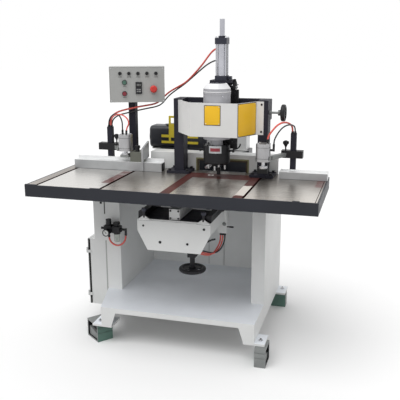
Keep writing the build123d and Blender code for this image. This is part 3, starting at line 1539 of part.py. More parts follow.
# Air hoses to the feed cylinder, from the left clamp post past the control post and under its box
feed_red = hose((
    (-519, 72, clamp_post_top),
    (-519, 72, 1200),
    (-503, 66, 1234),
    (-464, 60, 1260),
    (-412, 58, 1275),
    (-355, 64, 1282),
    (-305, 90, 1284),
    (-275, 140, 1286),
    (-257, 190, 1296),
    (-238, 222, 1324),
    (-200, 232, 1356),
    (-145, 215, 1388),
    (-85, 180, 1426),
    (-22, 140, 1478),
    (35, 95, 1528),
    (64, 87, 1565),
    (86, 83, 1591),
    (103, 83, 1607),
    (122, elbow_y, inlet_z),
    (inlet_x, elbow_y, inlet_z),
), wide_hose_radius)
feed_black = hose((
    (-505, 72, clamp_post_top),
    (-505, 72, 1198),
    (-488, 70, 1224),
    (-452, 68, 1244),
    (-402, 70, 1256),
    (-348, 80, 1263),
    (-298, 106, 1268),
    (-262, 154, 1272),
    (-240, 204, 1284),
    (-215, 236, 1326),
    (-168, 233, 1361),
    (-111, 207, 1396),
    (-50, 169, 1441),
    (10, 128, 1490),
    (62, 110, 1532),
    (108, 100, 1553),
    (138, 92, 1548),
    (155, 86, 1532),
    (gantry_x, elbow_y, 1510),
    (gantry_x, elbow_y, elbow_z + elbow_drop),
), slim_hose_radius)
save_group((feed_red, feed_black), "feed_hoses")

# Air hoses from the clamp posts to the clamp cylinders
left_top = clamp_bottoms[0] + clamp_body_height + port_height
right_top = clamp_bottoms[1] + clamp_body_height + port_height
left_black_end, left_red_end = [
    (clamp_centres[0][0] + dx, clamp_centres[0][1] + dy) for dx, dy in top_ports[0]
]
right_red_end = (clamp_centres[1][0] + top_ports[1][0][0], clamp_centres[1][1] + top_ports[1][0][1])
right_black_end = (port_x, right_y + side_port_y)
left_black = hose((
    (-519, 58, clamp_post_top),
    (-519, 58, 1202),
    (-500, 50, 1236),
    (-466, 42, 1254),
    (-436, 32, 1241),
    (-417, 18, 1208),
    (*left_black_end, 1180),
    (*left_black_end, left_top),
), slim_hose_radius)
left_red = hose((
    (-505, 58, clamp_post_top),
    (-505, 58, 1198),
    (-486, 44, 1226),
    (-448, 22, 1239),
    (-410, 4, 1240),
    (-380, -4, 1222),
    (-374, -4, 1200),
    (*left_red_end, 1176),
    (*left_red_end, left_top),
), slim_hose_radius)
right_red = hose((
    (546, 65, clamp_post_top),
    (546, 65, 1198),
    (539, 48, 1221),
    (522, 14, 1236),
    (500, -25, 1239),
    (479, -53, 1227),
    (459, -70, 1203),
    (*right_red_end, 1168),
    (*right_red_end, right_top),
), wide_hose_radius)
right_black = hose((
    (560, 65, clamp_post_top),
    (560, 65, 1196),
    (555, 46, 1216),
    (538, 10, 1226),
    (514, -26, 1221),
    (492, -50, 1199),
    (474, -63, 1166),
    (*right_black_end, 1144),
    (*right_black_end, port_z + side_port_rise),
), slim_hose_radius)
save_group((left_black, left_red, right_red, right_black), "clamp_hoses")

# Hose looped from the lubricator back under the regulator
service_loop = hose((
    (service_elbow_x, service_y, elbow_level - service_elbow_drop),
    (service_elbow_x, service_y, 560),
    (-378, -112, 530),
    (-410, -113, 511),
    (-446, -112, 519),
    (regulator_x, service_y, 545),
    (regulator_x, service_y, regulator_heights[0] - service_bracket),
), wide_hose_radius)
save_group((service_loop,), "service_hose")

# Hoses from the knee bracket to the manifold under the tray
table_hoses = []
bracket_y = shoe_y[0] - knee_plate / 2
for step in range(table_hose_count):
    start_x = bracket_ends[0] + hose_spacing * (step + 1)
    end_y = manifold_front + hose_spacing * (2 * step + 1)
    end_z = centre(manifold_z) - hose_spacing
    table_hoses.append(hose((
        (start_x, bracket_y, bracket_drop),
        (start_x, bracket_y, 604),
        (start_x - 3, bracket_y - 12, 575),
        (start_x - 12, bracket_y - 42, 553),
        ((start_x + 148) / 2, (bracket_y + end_y - 20) / 2, 545),
        (152, end_y + 22, 556),
        (126, end_y, end_z),
        (manifold_x[1], end_y, end_z),
    ), slim_hose_radius))
save_group(table_hoses, "table_hoses")
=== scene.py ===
"""Dresses a packed door lock mortiser with air hoses, fittings, plates, dials, fasteners and finishes.

The frame is the model's own: X along the table, the operator at -Y, Z up from the floor. Shapes and rules on
faces are written in millimetres. Settings, finishes and Blender itself are in metres.
"""
import math

import bpy
import numpy as np
from bpy.props import FloatProperty, FloatVectorProperty, PointerProperty
from mathutils import Euler, Matrix, Vector


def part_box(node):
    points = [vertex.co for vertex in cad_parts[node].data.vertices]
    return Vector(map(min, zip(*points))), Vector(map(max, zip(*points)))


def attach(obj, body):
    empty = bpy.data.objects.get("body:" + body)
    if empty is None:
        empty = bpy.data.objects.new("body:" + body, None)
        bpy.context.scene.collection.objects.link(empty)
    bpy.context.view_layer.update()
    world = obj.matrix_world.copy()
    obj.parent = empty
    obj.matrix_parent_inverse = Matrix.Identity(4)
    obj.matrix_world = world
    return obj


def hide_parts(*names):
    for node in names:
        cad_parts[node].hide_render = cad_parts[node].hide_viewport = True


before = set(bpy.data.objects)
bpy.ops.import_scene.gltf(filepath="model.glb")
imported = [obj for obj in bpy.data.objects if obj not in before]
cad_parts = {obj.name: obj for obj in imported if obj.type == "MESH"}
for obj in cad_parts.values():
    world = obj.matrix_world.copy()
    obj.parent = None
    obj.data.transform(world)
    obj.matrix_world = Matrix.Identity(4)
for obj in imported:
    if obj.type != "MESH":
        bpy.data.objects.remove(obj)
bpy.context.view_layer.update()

bl_info = {
    "name": "Door lock mortiser",
    "version": (1, 0, 0),
    "blender": (4, 5, 0),
    "location": "3D View > Sidebar > Mortiser",
    "description": "Dresses the packed mortiser with hoses, fittings, plates, dials and finishes",
    "category": "Object",
}

MM = 1000  # millimetres in a metre
FAR = 5000  # beyond the machine on any side
LEFT, RIGHT = (-1, 0, 0), (1, 0, 0)
FRONT, REAR = (0, -1, 0), (0, 1, 0)
DOWN, UP = (0, 0, -1), (0, 0, 1)
ALL_ROUND = 0.999 * math.pi
SHARP_EDGE = math.radians(35)

TABLE_TOP = 938
FOOT_TOP = 127
KNEE_FRONT = -390
BOX_FRONT = -60.2
HEAD_AXIS = np.array((161, -73, 0))
CYLINDER_AXIS = np.array((161, 35, 0))
SWING_MOTOR = np.array((0, 400, 1082))
CLAMP_POST_Y, CLAMP_POST_TOP = 65, 1172
PANEL_TURN = math.radians(20)
PANEL_ALONG = np.array((math.cos(PANEL_TURN), math.sin(PANEL_TURN), 0))
PANEL_OUT = np.array((math.sin(PANEL_TURN), -math.cos(PANEL_TURN), 0))
PANEL = np.array((-350, 96, 1418)) + 60 * PANEL_OUT
UPPER_ROW = PANEL[2] + 45  # where the panel's upper row begins
# Each levelling mount: x, y, turn in degrees, length and width
MOUNTS = (
    (-482, -252, -38, 125, 95), (470, -308, 90, 120, 60), (-532, 465, 0, 95, 60), (437, 478, 180, 95, 60))


# Settings

def tone(code):
    """The linear colour of a six-digit display code."""
    parts = np.array([int(code[start:start + 2], 16) for start in (0, 2, 4)]) / 255
    return tuple(np.where(parts <= 0.04045, parts / 12.92, ((parts + 0.055) / 1.055) ** 2.4).tolist())


def colour(label, about, code):
    return FloatVectorProperty(
        name=label, description=about, default=tone(code), subtype="COLOR", min=0, max=1)


def size(label, about, metres):
    return FloatProperty(name=label, description=about, default=metres, min=0, unit="LENGTH")


def angle(label, about, degrees):
    return FloatProperty(name=label, description=about, default=math.radians(degrees), subtype="ANGLE")


def amount(label, about, value):
    return FloatProperty(name=label, description=about, default=value, min=0)


class StageSettings(bpy.types.PropertyGroup):
    camera_place: FloatVectorProperty(
        name="Camera place", description="Where the camera stands", default=(0.992, -3.342, 1.655),
        subtype="TRANSLATION", unit="LENGTH")
    camera_yaw: angle("Camera yaw", "Turn of the view from +Y towards -X", 15.8)
    camera_pitch: angle("Camera pitch", "Tilt of the view below the horizon", 14.05)
    camera_roll: angle("Camera roll", "Turn of the picture about the view", -0.148)
    camera_lens: amount("Camera lens", "Focal length on a 36 mm sensor, in millimetres", 57.23)
    floor_reach: size("Floor reach", "Half the side of the floor", 30.0)
    sky_level: amount("Sky level", "Strength of the even light from all round", 0.70)
    sun_level: amount("Key level", "Strength of the key light", 1.4)
    sun_softness: angle("Key softness", "Angle that the key light spans", 45)
    sun_way: FloatVectorProperty(
        name="Key way", description="Direction in which the key light shines", default=(0.25, 0.45, -1.0),
        subtype="DIRECTION")
    floor_colour: colour("Floor", "Pale studio floor as it is seen", "fdfdfd")
    floor_fill: colour("Floor fill", "Tone of the floor as it throws light back", "b0b0b0")


class FinishColours(bpy.types.PropertyGroup):
    cabinet_enamel: colour("Cabinet", "Pale grey sprayed cabinet paint", "ecedec")
    # Painted light: a paler, bluish copy of the cabinet paint for the base frame's up-facing faces, as lit
    # from above
    deck_enamel: colour("Deck", "Cool pale paint on the deck's top", "eff3f9")
    guard_enamel: colour("Guard", "White sprayed guard", "e6e6e5")
    slate_enamel: colour("Table edge", "Slate paint on the table frame", "282a31")
    post_enamel: colour("Posts", "Dark paint on the gantry and clamp posts", "2d2d36")
    table_steel: colour("Ground steel", "Table plates", "b5b0a9")
    # Painted reflection: brown patches on the table plates, mostly towards the rear
    steel_brown_tint: colour("Steel stain", "Brown film on the table plates", "6d5d52")
    strip_laminate: colour("Wear strips", "Red-brown bonded strips", "4f2824")
    seam_laminate: colour("Seam strips", "Near-black strips between the plates", "1f100f")
    # Painted glare: a pale copy of the steel for the left table plate
    painted_glare_steel: colour("Pale steel", "Left table plate, rubbed bright", "e2e0dc")
    strip_worn: colour("Worn strip", "Pale worn stretch of a strip", "d8d2ca")
    # Painted shade: the fences' front faces take the darker fence_front grey, their tops and the rest the
    # pale metal
    fence_metal: colour("Fences", "Machined tops of the fences", "eeefef")
    fence_front: colour("Fence fronts", "Grey fronts of the fences", "b0b2b4")
    # Painted light: the drill motor's silver in a darker, shaded copy for its sides and a paler, lit copy for
    # its tops
    silver_casting: colour("Silver paint", "Sides of the motor castings", "b6b6bb")
    silver_top: colour("Silver top", "Lit tops of the motor castings", "f4f4f6")
    clamp_metal: colour("Clamp bodies", "Grey anodised clamp bodies", "b0b0b2")
    drawn_aluminium: colour("Aluminium", "Drawn cylinder barrel", "bdbec5")
    bright_steel: colour("Bright steel", "Turned and plated steel", "c2c3c6")
    black_oxide: colour("Black steel", "Oxide-blacked steel", "1f1f22")
    motor_enamel: colour("Dark motor", "Dark motor paint", "23252c")
    cap_metal: colour("Cylinder caps", "Dark anodised caps", "2e303c")
    control_enamel: colour("Control box", "Grey control box", "b2b3b1")
    label_enamel: colour("Bare labels", "Plain label plates", "8f908e")
    amber_enamel: colour("Amber", "Plain amber plates", "fac41c")
    yellow_enamel: colour("Yellow paint", "Strap bracket", "e6cf38")
    lining_enamel: colour("Window lining", "Dark brown lining of the window", "4a3f2d")
    olive_enamel: colour("Olive paint", "Window frame", "8d8a63")
    carrier_enamel: colour("Stop carrier", "Olive-grey stop carrier", "686a61")
    green_enamel: colour("Green paint", "Levelling mounts", "5f7f74")
    mount_steel: colour("Mount steel", "Bare steel of the levelling mounts", "8f9291")
    red_plastic: colour("Red plastic", "Stop button", "d8362e")
    crimson_plastic: colour("Crimson plastic", "Red push button", "8a2c38")
    green_plastic: colour("Green plastic", "Green push button", "4a6f60")
    black_plastic: colour("Black plastic", "Knobs, bezels and fittings", "202023")
    rubber: colour("Rubber", "Gasket, pads and grommets", "1b1b1c")
    red_hose: colour("Red hose", "Red air hose", "e8645a")
    black_hose: colour("Black hose", "Black air hose", "2b2b2f")
    dial_face: colour("Dial", "Gauge dial and display", "eef0ee")


class HoseSettings(bpy.types.PropertyGroup):
    wide: size("Wide hose", "Outer diameter of the wide air hoses", 0.010)
    slim: size("Slim hose", "Outer diameter of the slim air hoses", 0.008)
    collar_wall: size("Collar wall", "Wall of the push-in collars", 0.0024)
    collar_length: size("Collar length", "Length of the push-in collars", 0.011)


class PlateSettings(bpy.types.PropertyGroup):
    thickness: size("Thickness", "Thickness of the plain plates", 0.0012)
    corner: size("Corner", "Corner radius of the plain plates", 0.003)
    square_width: size("Square width", "Width of the square amber plate", 0.088)
    square_height: size("Square height", "Height of the square amber plate", 0.104)
    tall_width: size("Tall width", "Width of the tall amber plate", 0.156)
    tall_height: size("Tall height", "Height of the tall amber plate", 0.172)
    border: size("Border", "Width of the line round the amber plates", 0.0032)


class TrimSettings(bpy.types.PropertyGroup):
    strip_rise: size("Strip rise", "Height of the seam strips over the table", 0.0004)
    seam: size("Seam", "Width of the seams in the cabinet sheets", 0.0024)


def in_mm(settings, *names):
    """Sizes from a group of settings, in millimetres."""
    return [MM * getattr(settings, name) for name in names]


# Shapes: each is an array of points and a list of faces

def axes(direction):
    """Two directions square to a given one, the first level where it can be, and the direction itself."""
    w = np.asarray(direction, float) / np.linalg.norm(direction)
    helper = np.array((0.0, 0.0, 1.0)) if abs(w[2]) < 0.9 else np.array((0.0, 1.0, 0.0))
    u = np.cross(helper, w)
    u /= np.linalg.norm(u)
    return u, np.cross(w, u), w


def skin(rings, closed=True):
    """The surface through rings P(row, column), with flat ends; the sign of its volume turns it outwards."""
    rows, columns, _ = rings.shape
    points = rings.reshape(-1, 3)
    row, column = np.meshgrid(np.arange(rows - 1), np.arange(columns), indexing="ij")
    here = row * columns + column
    beside = row * columns + (column + 1) % columns
    quads = np.stack((here, beside, beside + columns, here + columns), -1).reshape(-1, 4)
    a, b, c, d = (points[quads[:, k]] - points.mean(0) for k in range(4))
    volume = np.einsum("ij,ij->", a, np.cross(b, c) + np.cross(c, d))
    faces = quads.tolist()
    if closed:
        faces.append(list(range(columns))[::-1])
        faces.append(list(range((rows - 1) * columns, rows * columns)))
    return points, faces if volume >= 0 else [face[::-1] for face in faces]


def circle(u, v, count, sides):
    """Unit ways cos t u + sin t v, for the first so many steps of t."""
    t = np.arange(count) * 2 * np.pi / sides
    return np.cos(t)[:, None] * u + np.sin(t)[:, None] * v


def turned(origin, direction, profile, sides=24):
    """A profile of (radius, height) pairs turned about an axis: origin + r cos t u + r sin t v + h w."""
    u, v, w = axes(direction)
    radius, height = np.asarray(profile, float).T[:, :, None, None]
    return skin(np.asarray(origin) + radius * circle(u, v, sides, sides) + height * w)


def outline(width, height, corner, steps=6):
    """A rounded rectangle: each quarter of t has its own corner centre, plus corner (cos t, sin t)."""
    t = (np.arange(4 * steps) + 0.5) * np.pi / (2 * steps)
    ways = np.stack((np.cos(t), np.sin(t)), -1)
    return np.sign(ways) * (np.array((width, height)) / 2 - corner) + corner * ways


def slab(origin, direction, width, height, thickness, corner=2, edge=0.4):
    """A rounded plate standing on a face: outlines drawn in by the edge round-over at its top."""
    u, v, w = axes(direction)
    edge = min(edge, thickness / 2, corner / 2)
    a = np.linspace(0, np.pi / 2, 4)
    inset = (0, *edge * (1 - np.cos(a)))
    rise = np.array((0, *thickness - edge + edge * np.sin(a)))
    flat = np.stack([
        outline(width - 2 * step, height - 2 * step, max(corner - step, 0.01)) for step in inset])
    return skin(np.asarray(origin) + flat[..., :1] * u + flat[..., 1:] * v + rise[:, None, None] * w)


def ring(origin, direction, inner, outer, rise, sides=32):
    """A flat ring with a hole: its section is carried right round, so that it meets itself."""
    u, v, w = axes(direction)
    section = np.array(((inner, 0), (outer, 0), (outer, rise), (inner, rise)))
    out = circle(u, v, sides + 1, sides)[:, None]
    return skin(np.asarray(origin) + section[:, :1] * out + section[:, 1:] * w, closed=False)


def wrapped(centre, radius, middle, reach, low, high, thickness, steps=24):
    """A plate bent round an upright axis: P(a, z) at two radii, for a within reach of the middle angle."""
    a = np.linspace(middle - reach, middle + reach, steps)
    outer = radius + thickness
    return skin(np.stack([
        np.stack((centre[0] + r * np.cos(a), centre[1] + r * np.sin(a), np.full(steps, z)), -1)
        for r, z in ((radius, low), (outer, low), (outer, high), (radius, high))], 1))


def rod(path, radius, sides=12):
    """A round section carried along a path: P(i, t) = p(i) + radius (cos t u(i) + sin t v(i))."""
    path = np.asarray(path, float)
    tangent = np.gradient(path, axis=0)
    tangent /= np.linalg.norm(tangent, axis=1)[:, None]
    u = np.cross(tangent, np.linalg.svd(path - path.mean(0))[2][2])
    u /= np.linalg.norm(u, axis=1)[:, None]
    v = np.cross(tangent, u)
    return skin(path[:, None] + radius * circle(u[:, None], v[:, None], sides, sides))


def arc(centre, start, across, turn, steps=12):
    """Points of an arc: centre + cos t start + sin t across, for t from 0 to the turn."""
    t = np.linspace(0, turn, steps)[:, None]
    return np.asarray(centre) + np.cos(t) * np.asarray(start) + np.sin(t) * np.asarray(across)


def socket_head(origin, direction, radius, rise):
    """A socket-head screw: a rounded rim round a sunk socket."""
    shares = np.array(((1, 0), (1, 0.8), (0.9, 1), (0.58, 1), (0.55, 0.45)))
    return turned(origin, direction, shares * (radius, rise))


def hex_head(origin, direction, radius, rise):
    """A six-sided head with its corners turned off, on a washer."""
    washer = turned(origin, direction, ((1.35 * radius, 0), (1.35 * radius, 0.18 * rise)))
    top = np.asarray(origin) + 0.18 * rise * axes(direction)[2]
    return washer, turned(top, direction, ((radius, 0), (radius, 0.8 * rise), (0.85 * radius, rise)), 6)


def join(shapes):
    """Several shapes as one array of points and one list of faces."""
    points, faces, start = [], [], 0
    for shape_points, shape_faces in shapes:
        points.append(shape_points)
        faces.extend([[corner + start for corner in face] for face in shape_faces])
        start += len(shape_points)
    return np.concatenate(points), faces


def piece(name, body, slot, *groups):
    """A named piece of shapes that rides on a body; each group is a finish followed by its shapes."""
    mesh = bpy.data.meshes.new(name)
    points, faces = join(shape for _, *shapes in groups for shape in shapes)
    mesh.from_pydata(points / MM, [], faces)
    numbers = []
    for number, (finish_name, *shapes) in enumerate(groups):
        numbers += [number] * sum(len(shape_faces) for _, shape_faces in shapes)
        mesh.materials.append(finish(finish_name))
    mesh.polygons.foreach_set("material_index", numbers)
    mesh.shade_smooth()
    mesh.set_sharp_from_angle(angle=SHARP_EDGE)
    mesh.update()
    made = bpy.data.objects.new(name, mesh)
    bpy.context.scene.collection.objects.link(made)
    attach(made, body)


# Finishes

class Nodes:
    """A node tree, with short ways to add to it."""

    def __init__(self, tree):
        self.tree = tree

    def feed(self, socket, value):
        if isinstance(value, bpy.types.NodeSocket):
            self.tree.links.new(value, socket)
        else:
            socket.default_value = value

    def node(self, kind, *values, **inputs):
        """Adds a node; the values feed its sockets by number and the inputs by name."""
        made = self.tree.nodes.new(kind)
        named = {key.replace("_", " "): value for key, value in inputs.items()}
        for key, value in (*enumerate(values), *named.items()):
            self.feed(made.inputs[key], value)
        return made

    def maths(self, operation, first, second):
        made = self.node("ShaderNodeMath", first, second)
        made.operation = operation
        return made.outputs[0]


class Recipe(Nodes):
    """One material: a principled shader fed by patterns in object space."""

    def __init__(self, name, roughness=0.5, metallic=0.0):
        self.material = bpy.data.materials.new(f"{name}_finish")
        self.material.use_nodes = True
        super().__init__(self.material.node_tree)
        self.shader = self.tree.nodes["Principled BSDF"]
        self.place = self.node("ShaderNodeTexCoord").outputs["Object"]
        self.normal = None
        self.set("Roughness", roughness)
        self.set("Metallic", metallic)

    def set(self, name, value):
        self.feed(self.shader.inputs[name], value)

    def noise(self, scale, detail=2.0, stretch=(1, 1, 1)):
        place = self.node("ShaderNodeMapping", Vector=self.place, Scale=stretch).outputs[0]
        return self.node("ShaderNodeTexNoise", Vector=place, Scale=scale, Detail=detail).outputs[0]

    def span(self, value, low, high, to_low=0.0, to_high=1.0):
        return self.node("ShaderNodeMapRange", Value=value, From_Min=low, From_Max=high,
                         To_Min=to_low, To_Max=to_high).outputs[0]

    def cloud(self, scale, detail, to_low=0.0, to_high=1.0):
        """A soft pattern between two values."""
        return self.span(self.noise(scale, detail), 0.3, 0.7, to_low, to_high)

    def times(self, first, second):
        return self.maths("MULTIPLY", first, second)

    def patch(self, x_span, y_span, soft=0.006, ragged=0.03):
        """A mask that is 1 over a rectangle seen from above and fades out raggedly at its rim."""
        place = self.node("ShaderNodeSeparateXYZ", Vector=self.place).outputs
        wander = self.span(self.noise(16, 4), 0.0, 1.0, -ragged, ragged)
        mask = 1.0
        for value, (low, high) in ((place[0], x_span), (self.maths("ADD", place[1], wander), y_span)):
            mask = self.times(mask, self.span(value, low - soft, low))
            mask = self.times(mask, self.span(value, high + soft, high))
        return mask

    def mix(self, share, first, second):
        made = self.tree.nodes.new("ShaderNodeMix")
        made.data_type = "RGBA"
        for socket, value in ((0, share), (6, first), (7, second)):
            self.feed(made.inputs[socket], value)
        return made.outputs[2]

    def edges(self, radius):
        """Rounds the shading of edges, and gives a value that rises towards them."""
        bevel = self.node("ShaderNodeBevel", Radius=radius)
        bevel.samples = 4
        self.normal = bevel.outputs[0]
        true_normal = self.node("ShaderNodeNewGeometry").outputs["True Normal"]
        dot = self.node("ShaderNodeVectorMath", self.normal, true_normal)
        dot.operation = "DOT_PRODUCT"
        return self.span(dot.outputs["Value"], 0.995, 0.9)

    def bump(self, height, distance, strength=1.0):
        made = self.node("ShaderNodeBump", Height=height, Distance=distance, Strength=strength)
        if self.normal is not None:
            self.feed(made.inputs["Normal"], self.normal)
        self.normal = made.outputs[0]

    def done(self):
        if self.normal is not None:
            self.set("Normal", self.normal)
        return self.material


def shade(base, factor):
    return (*[min(part * factor, 1.0) for part in base], 1.0)


def hue(name):
    return getattr(bpy.context.scene.mortiser_colours, name)


def enamel(name, roughness, cloud, worn, specular=0.5, peel=0.00012):
    """Sprayed paint: cloudy tone, orange peel, softened edges that are rubbed paler here and there."""
    recipe, base = Recipe(name), hue(name)
    edge = recipe.times(recipe.edges(0.0016), recipe.span(recipe.noise(60, 3), 0.42, 0.62))
    body = recipe.mix(recipe.cloud(4.5, 4), shade(base, 1 - cloud), shade(base, 1 + cloud))
    recipe.set("Base Color", recipe.mix(edge, body, shade(base, worn)))
    recipe.set("Roughness", recipe.cloud(30, 3, roughness - 0.06, roughness + 0.08))
    recipe.set("Specular IOR Level", specular)
    recipe.bump(recipe.noise(650, 1), peel, 0.5)
    return recipe.done()


def table_plate(name):
    """Ground steel: fine lines along the table, and painted reflection: bright in front, pale glare on the
    left plate, darker with brown patches at the rear.

    Brown strip glue shows in three places.
    """
    recipe, base, brown_tint = Recipe(name), hue(name), shade(hue("steel_brown_tint"), 1)
    recipe.edges(0.0008)
    x, y, _ = recipe.node("ShaderNodeSeparateXYZ", Vector=recipe.place).outputs
    cloud = recipe.noise(3.0, 4, (1, 0.6, 1))
    # Painted reflection: a bright copy of the steel in front fades to a dark copy at the rear
    rear = recipe.maths("ADD", y, recipe.span(cloud, 0.0, 1.0, -0.12, 0.12))
    body = recipe.mix(recipe.span(rear, -0.46, -0.10), shade(base, 1.42), shade(base, 0.74))
    # Painted reflection: brown patches that gather towards the rear
    rear_reflection = recipe.times(recipe.span(cloud, 0.45, 0.72), recipe.span(rear, -0.50, -0.20, 0.25, 0.7))
    body = recipe.mix(rear_reflection, body, brown_tint)
    # Painted glare: the left plate takes a pale copy of the steel
    left = recipe.times(recipe.span(x, -0.3325, -0.3335, 0.0, 0.85), recipe.span(x, -0.6865, -0.6855))
    body = recipe.mix(left, body, shade(hue("painted_glare_steel"), 1))
    # Painted reflection: a dark brown patch on the middle plate
    dark_reflection = recipe.patch((0.04, 0.30), (-0.30, -0.11), 0.06, 0.08)
    dark_reflection = recipe.times(dark_reflection, recipe.span(recipe.noise(9, 4, (1.6, 0.5, 1)), 0.40, 0.62, 0.0, 0.75))
    border = recipe.span(x, -0.6865, -0.6875, 0.0, 0.42)
    body = recipe.mix(recipe.maths("MAXIMUM", dark_reflection, border), body, brown_tint)
    grain = recipe.noise(1.0, 3, (4, 900, 4))
    body = recipe.mix(recipe.span(grain, 0.3, 0.7, 0.0, 0.06), body, shade(base, 0.6))
    glue = 0.0
    for spans in (((-0.386, -0.333), (-0.36, -0.05)), ((0.700, 0.7345), (-0.18, -0.02)),
                  ((0.035, 0.344), (-0.109, -0.095))):
        glue = recipe.maths("MAXIMUM", glue, recipe.patch(*spans))
    glue = recipe.times(glue, recipe.span(recipe.noise(20, 4), 0.3, 0.55, 0.55, 1.0))
    recipe.set("Base Color", recipe.mix(glue, body, shade(hue("strip_laminate"), 1.6)))
    recipe.set("Metallic", recipe.span(glue, 0.0, 1.0, 0.8, 0.0))
    recipe.set("Roughness", recipe.span(grain, 0.25, 0.75, 0.24, 0.34))
    recipe.bump(grain, 0.00002, 0.3)
    return recipe.done()


def bare_metal(name, roughness, metallic, scale=300, grain=(1, 1, 1)):
    """Machined or cast metal: a fine grain, faint clouds and softened edges."""
    recipe, base = Recipe(name, metallic=metallic), hue(name)
    edge = recipe.times(recipe.edges(0.001), 0.5)
    body = recipe.mix(recipe.cloud(14, 3), shade(base, 0.9), shade(base, 1.06))
    recipe.set("Base Color", recipe.mix(edge, body, shade(base, 1.3)))
    fine = recipe.noise(scale, 2, grain)
    recipe.set("Roughness", recipe.span(fine, 0.25, 0.75, roughness - 0.07, roughness + 0.1))
    recipe.bump(fine, 0.00003, 0.3)
    return recipe.done()


def moulded(name, roughness, specular=0.5):
    """Moulded plastic or rubber: a fine texture, faint tone and softened edges."""
    recipe, base = Recipe(name), hue(name)
    edge = recipe.times(recipe.edges(0.0009), 0.35)
    body = recipe.mix(recipe.cloud(25, 3), shade(base, 0.9), shade(base, 1.1))
    recipe.set("Base Color", recipe.mix(edge, body, shade(base, 1.6)))
    recipe.set("Roughness", recipe.cloud(80, 2, roughness - 0.06, roughness + 0.1))
    recipe.set("Specular IOR Level", specular)
    recipe.bump(recipe.noise(1400, 1), 0.00006, 0.4)
    return recipe.done()


def laminate(name):
    """Bonded fibre strip: mottled red-brown with fine fibres along it, scuffs and one stretch worn pale."""
    recipe, base = Recipe(name), hue(name)
    recipe.edges(0.0008)
    fibre = recipe.noise(1.0, 4, (60, 700, 60))
    body = recipe.mix(recipe.cloud(38, 4), shade(base, 0.78), shade(base, 1.2))
    scuff = recipe.times(recipe.span(recipe.noise(9, 5), 0.52, 0.7), 0.45)
    body = recipe.mix(scuff, body, shade(base, 1.9))
    pale = recipe.patch((0.330, 0.3895), (-0.455, -0.235), 0.004, 0.05)
    recipe.set("Base Color", recipe.mix(pale, body, shade(hue("strip_worn"), 1)))
    recipe.set("Roughness", recipe.span(fibre, 0.3, 0.7, 0.34, 0.5))
    recipe.set("Specular IOR Level", 0.12)
    recipe.bump(fibre, 0.00006, 0.5)
    return recipe.done()


def tubing(name):
    """Polyurethane hose: glossy, cloudy in tone, with a faint texture."""
    recipe, base = Recipe(name, roughness=0.28), hue(name)
    recipe.set("Base Color", recipe.mix(recipe.cloud(30, 3), shade(base, 0.85), shade(base, 1.15)))
    recipe.set("Specular IOR Level", 0.5)
    recipe.bump(recipe.noise(500, 2), 0.00004, 0.4)
    return recipe.done()


def clear_bowl(name):
    """Moulded clear bowl: pale, glossy and partly see-through."""
    recipe = Recipe(name, roughness=0.12)
    recipe.set("Base Color", recipe.mix(recipe.cloud(40, 3), (0.62, 0.68, 0.62, 1), (0.8, 0.84, 0.8, 1)))
    recipe.set("Transmission Weight", 0.55)
    recipe.bump(recipe.noise(300, 2), 0.00005, 0.4)
    return recipe.done()


# Table of finishes: each has its maker, and the values that it takes after the name
FINISHES = {
    "cabinet_enamel": (enamel, 0.42, 0.04, 1.05),
    "deck_enamel": (enamel, 0.34, 0.04, 1.02),
    "guard_enamel": (enamel, 0.36, 0.04, 1.03),
    "slate_enamel": (enamel, 0.45, 0.1, 1.8, 0.3),
    "post_enamel": (enamel, 0.5, 0.1, 1.8, 0.14),
    "motor_enamel": (enamel, 0.34, 0.1, 1.6),
    "control_enamel": (enamel, 0.45, 0.04, 1.12),
    "label_enamel": (enamel, 0.4, 0.05, 1.1),
    "amber_enamel": (enamel, 0.4, 0.06, 1.1),
    "yellow_enamel": (enamel, 0.4, 0.1, 1.2),
    "lining_enamel": (enamel, 0.5, 0.15, 1.4, 0.3),
    "olive_enamel": (enamel, 0.45, 0.1, 1.2),
    "carrier_enamel": (enamel, 0.4, 0.1, 1.5),
    "green_enamel": (enamel, 0.5, 0.16, 1.5, 0.5, 0.0004),
    "seam_laminate": (enamel, 0.8, 0.2, 1.6, 0.0, 0.0003),
    "mount_steel": (bare_metal, 0.5, 0.4, 200),
    "silver_casting": (bare_metal, 0.45, 0.15, 500),
    "silver_top": (bare_metal, 0.4, 0.1, 500),
    "fence_front": (bare_metal, 0.36, 0.6, 350, (0.05, 1, 1)),
    "fence_metal": (bare_metal, 0.4, 0.3, 350, (0.05, 1, 1)),
    "drawn_aluminium": (bare_metal, 0.28, 0.75, 200, (1, 1, 0.02)),
    "clamp_metal": (bare_metal, 0.32, 0.7, 260, (1, 1, 0.1)),
    "cap_metal": (bare_metal, 0.4, 0.4),
    "black_oxide": (bare_metal, 0.42, 0.5),
    "bright_steel": (bare_metal, 0.18, 1.0),
    "red_plastic": (moulded, 0.32),
    "crimson_plastic": (moulded, 0.36),
    "green_plastic": (moulded, 0.32),
    "black_plastic": (moulded, 0.42, 0.3),
    "rubber": (moulded, 0.65, 0.3),
    "dial_face": (moulded, 0.3),
    "table_steel": (table_plate,),
    "strip_laminate": (laminate,),
    "red_hose": (tubing,),
    "black_hose": (tubing,),
    "clear_bowl": (clear_bowl,),
}


def finish(name):
    """The material of a finish, made the first time that it is asked for."""
    maker, *values = FINISHES[name]
    return bpy.data.materials.get(f"{name}_finish") or maker(name, *values)


def corners(node):
    """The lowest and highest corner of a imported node, as arrays."""
    return MM * np.array(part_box(node))


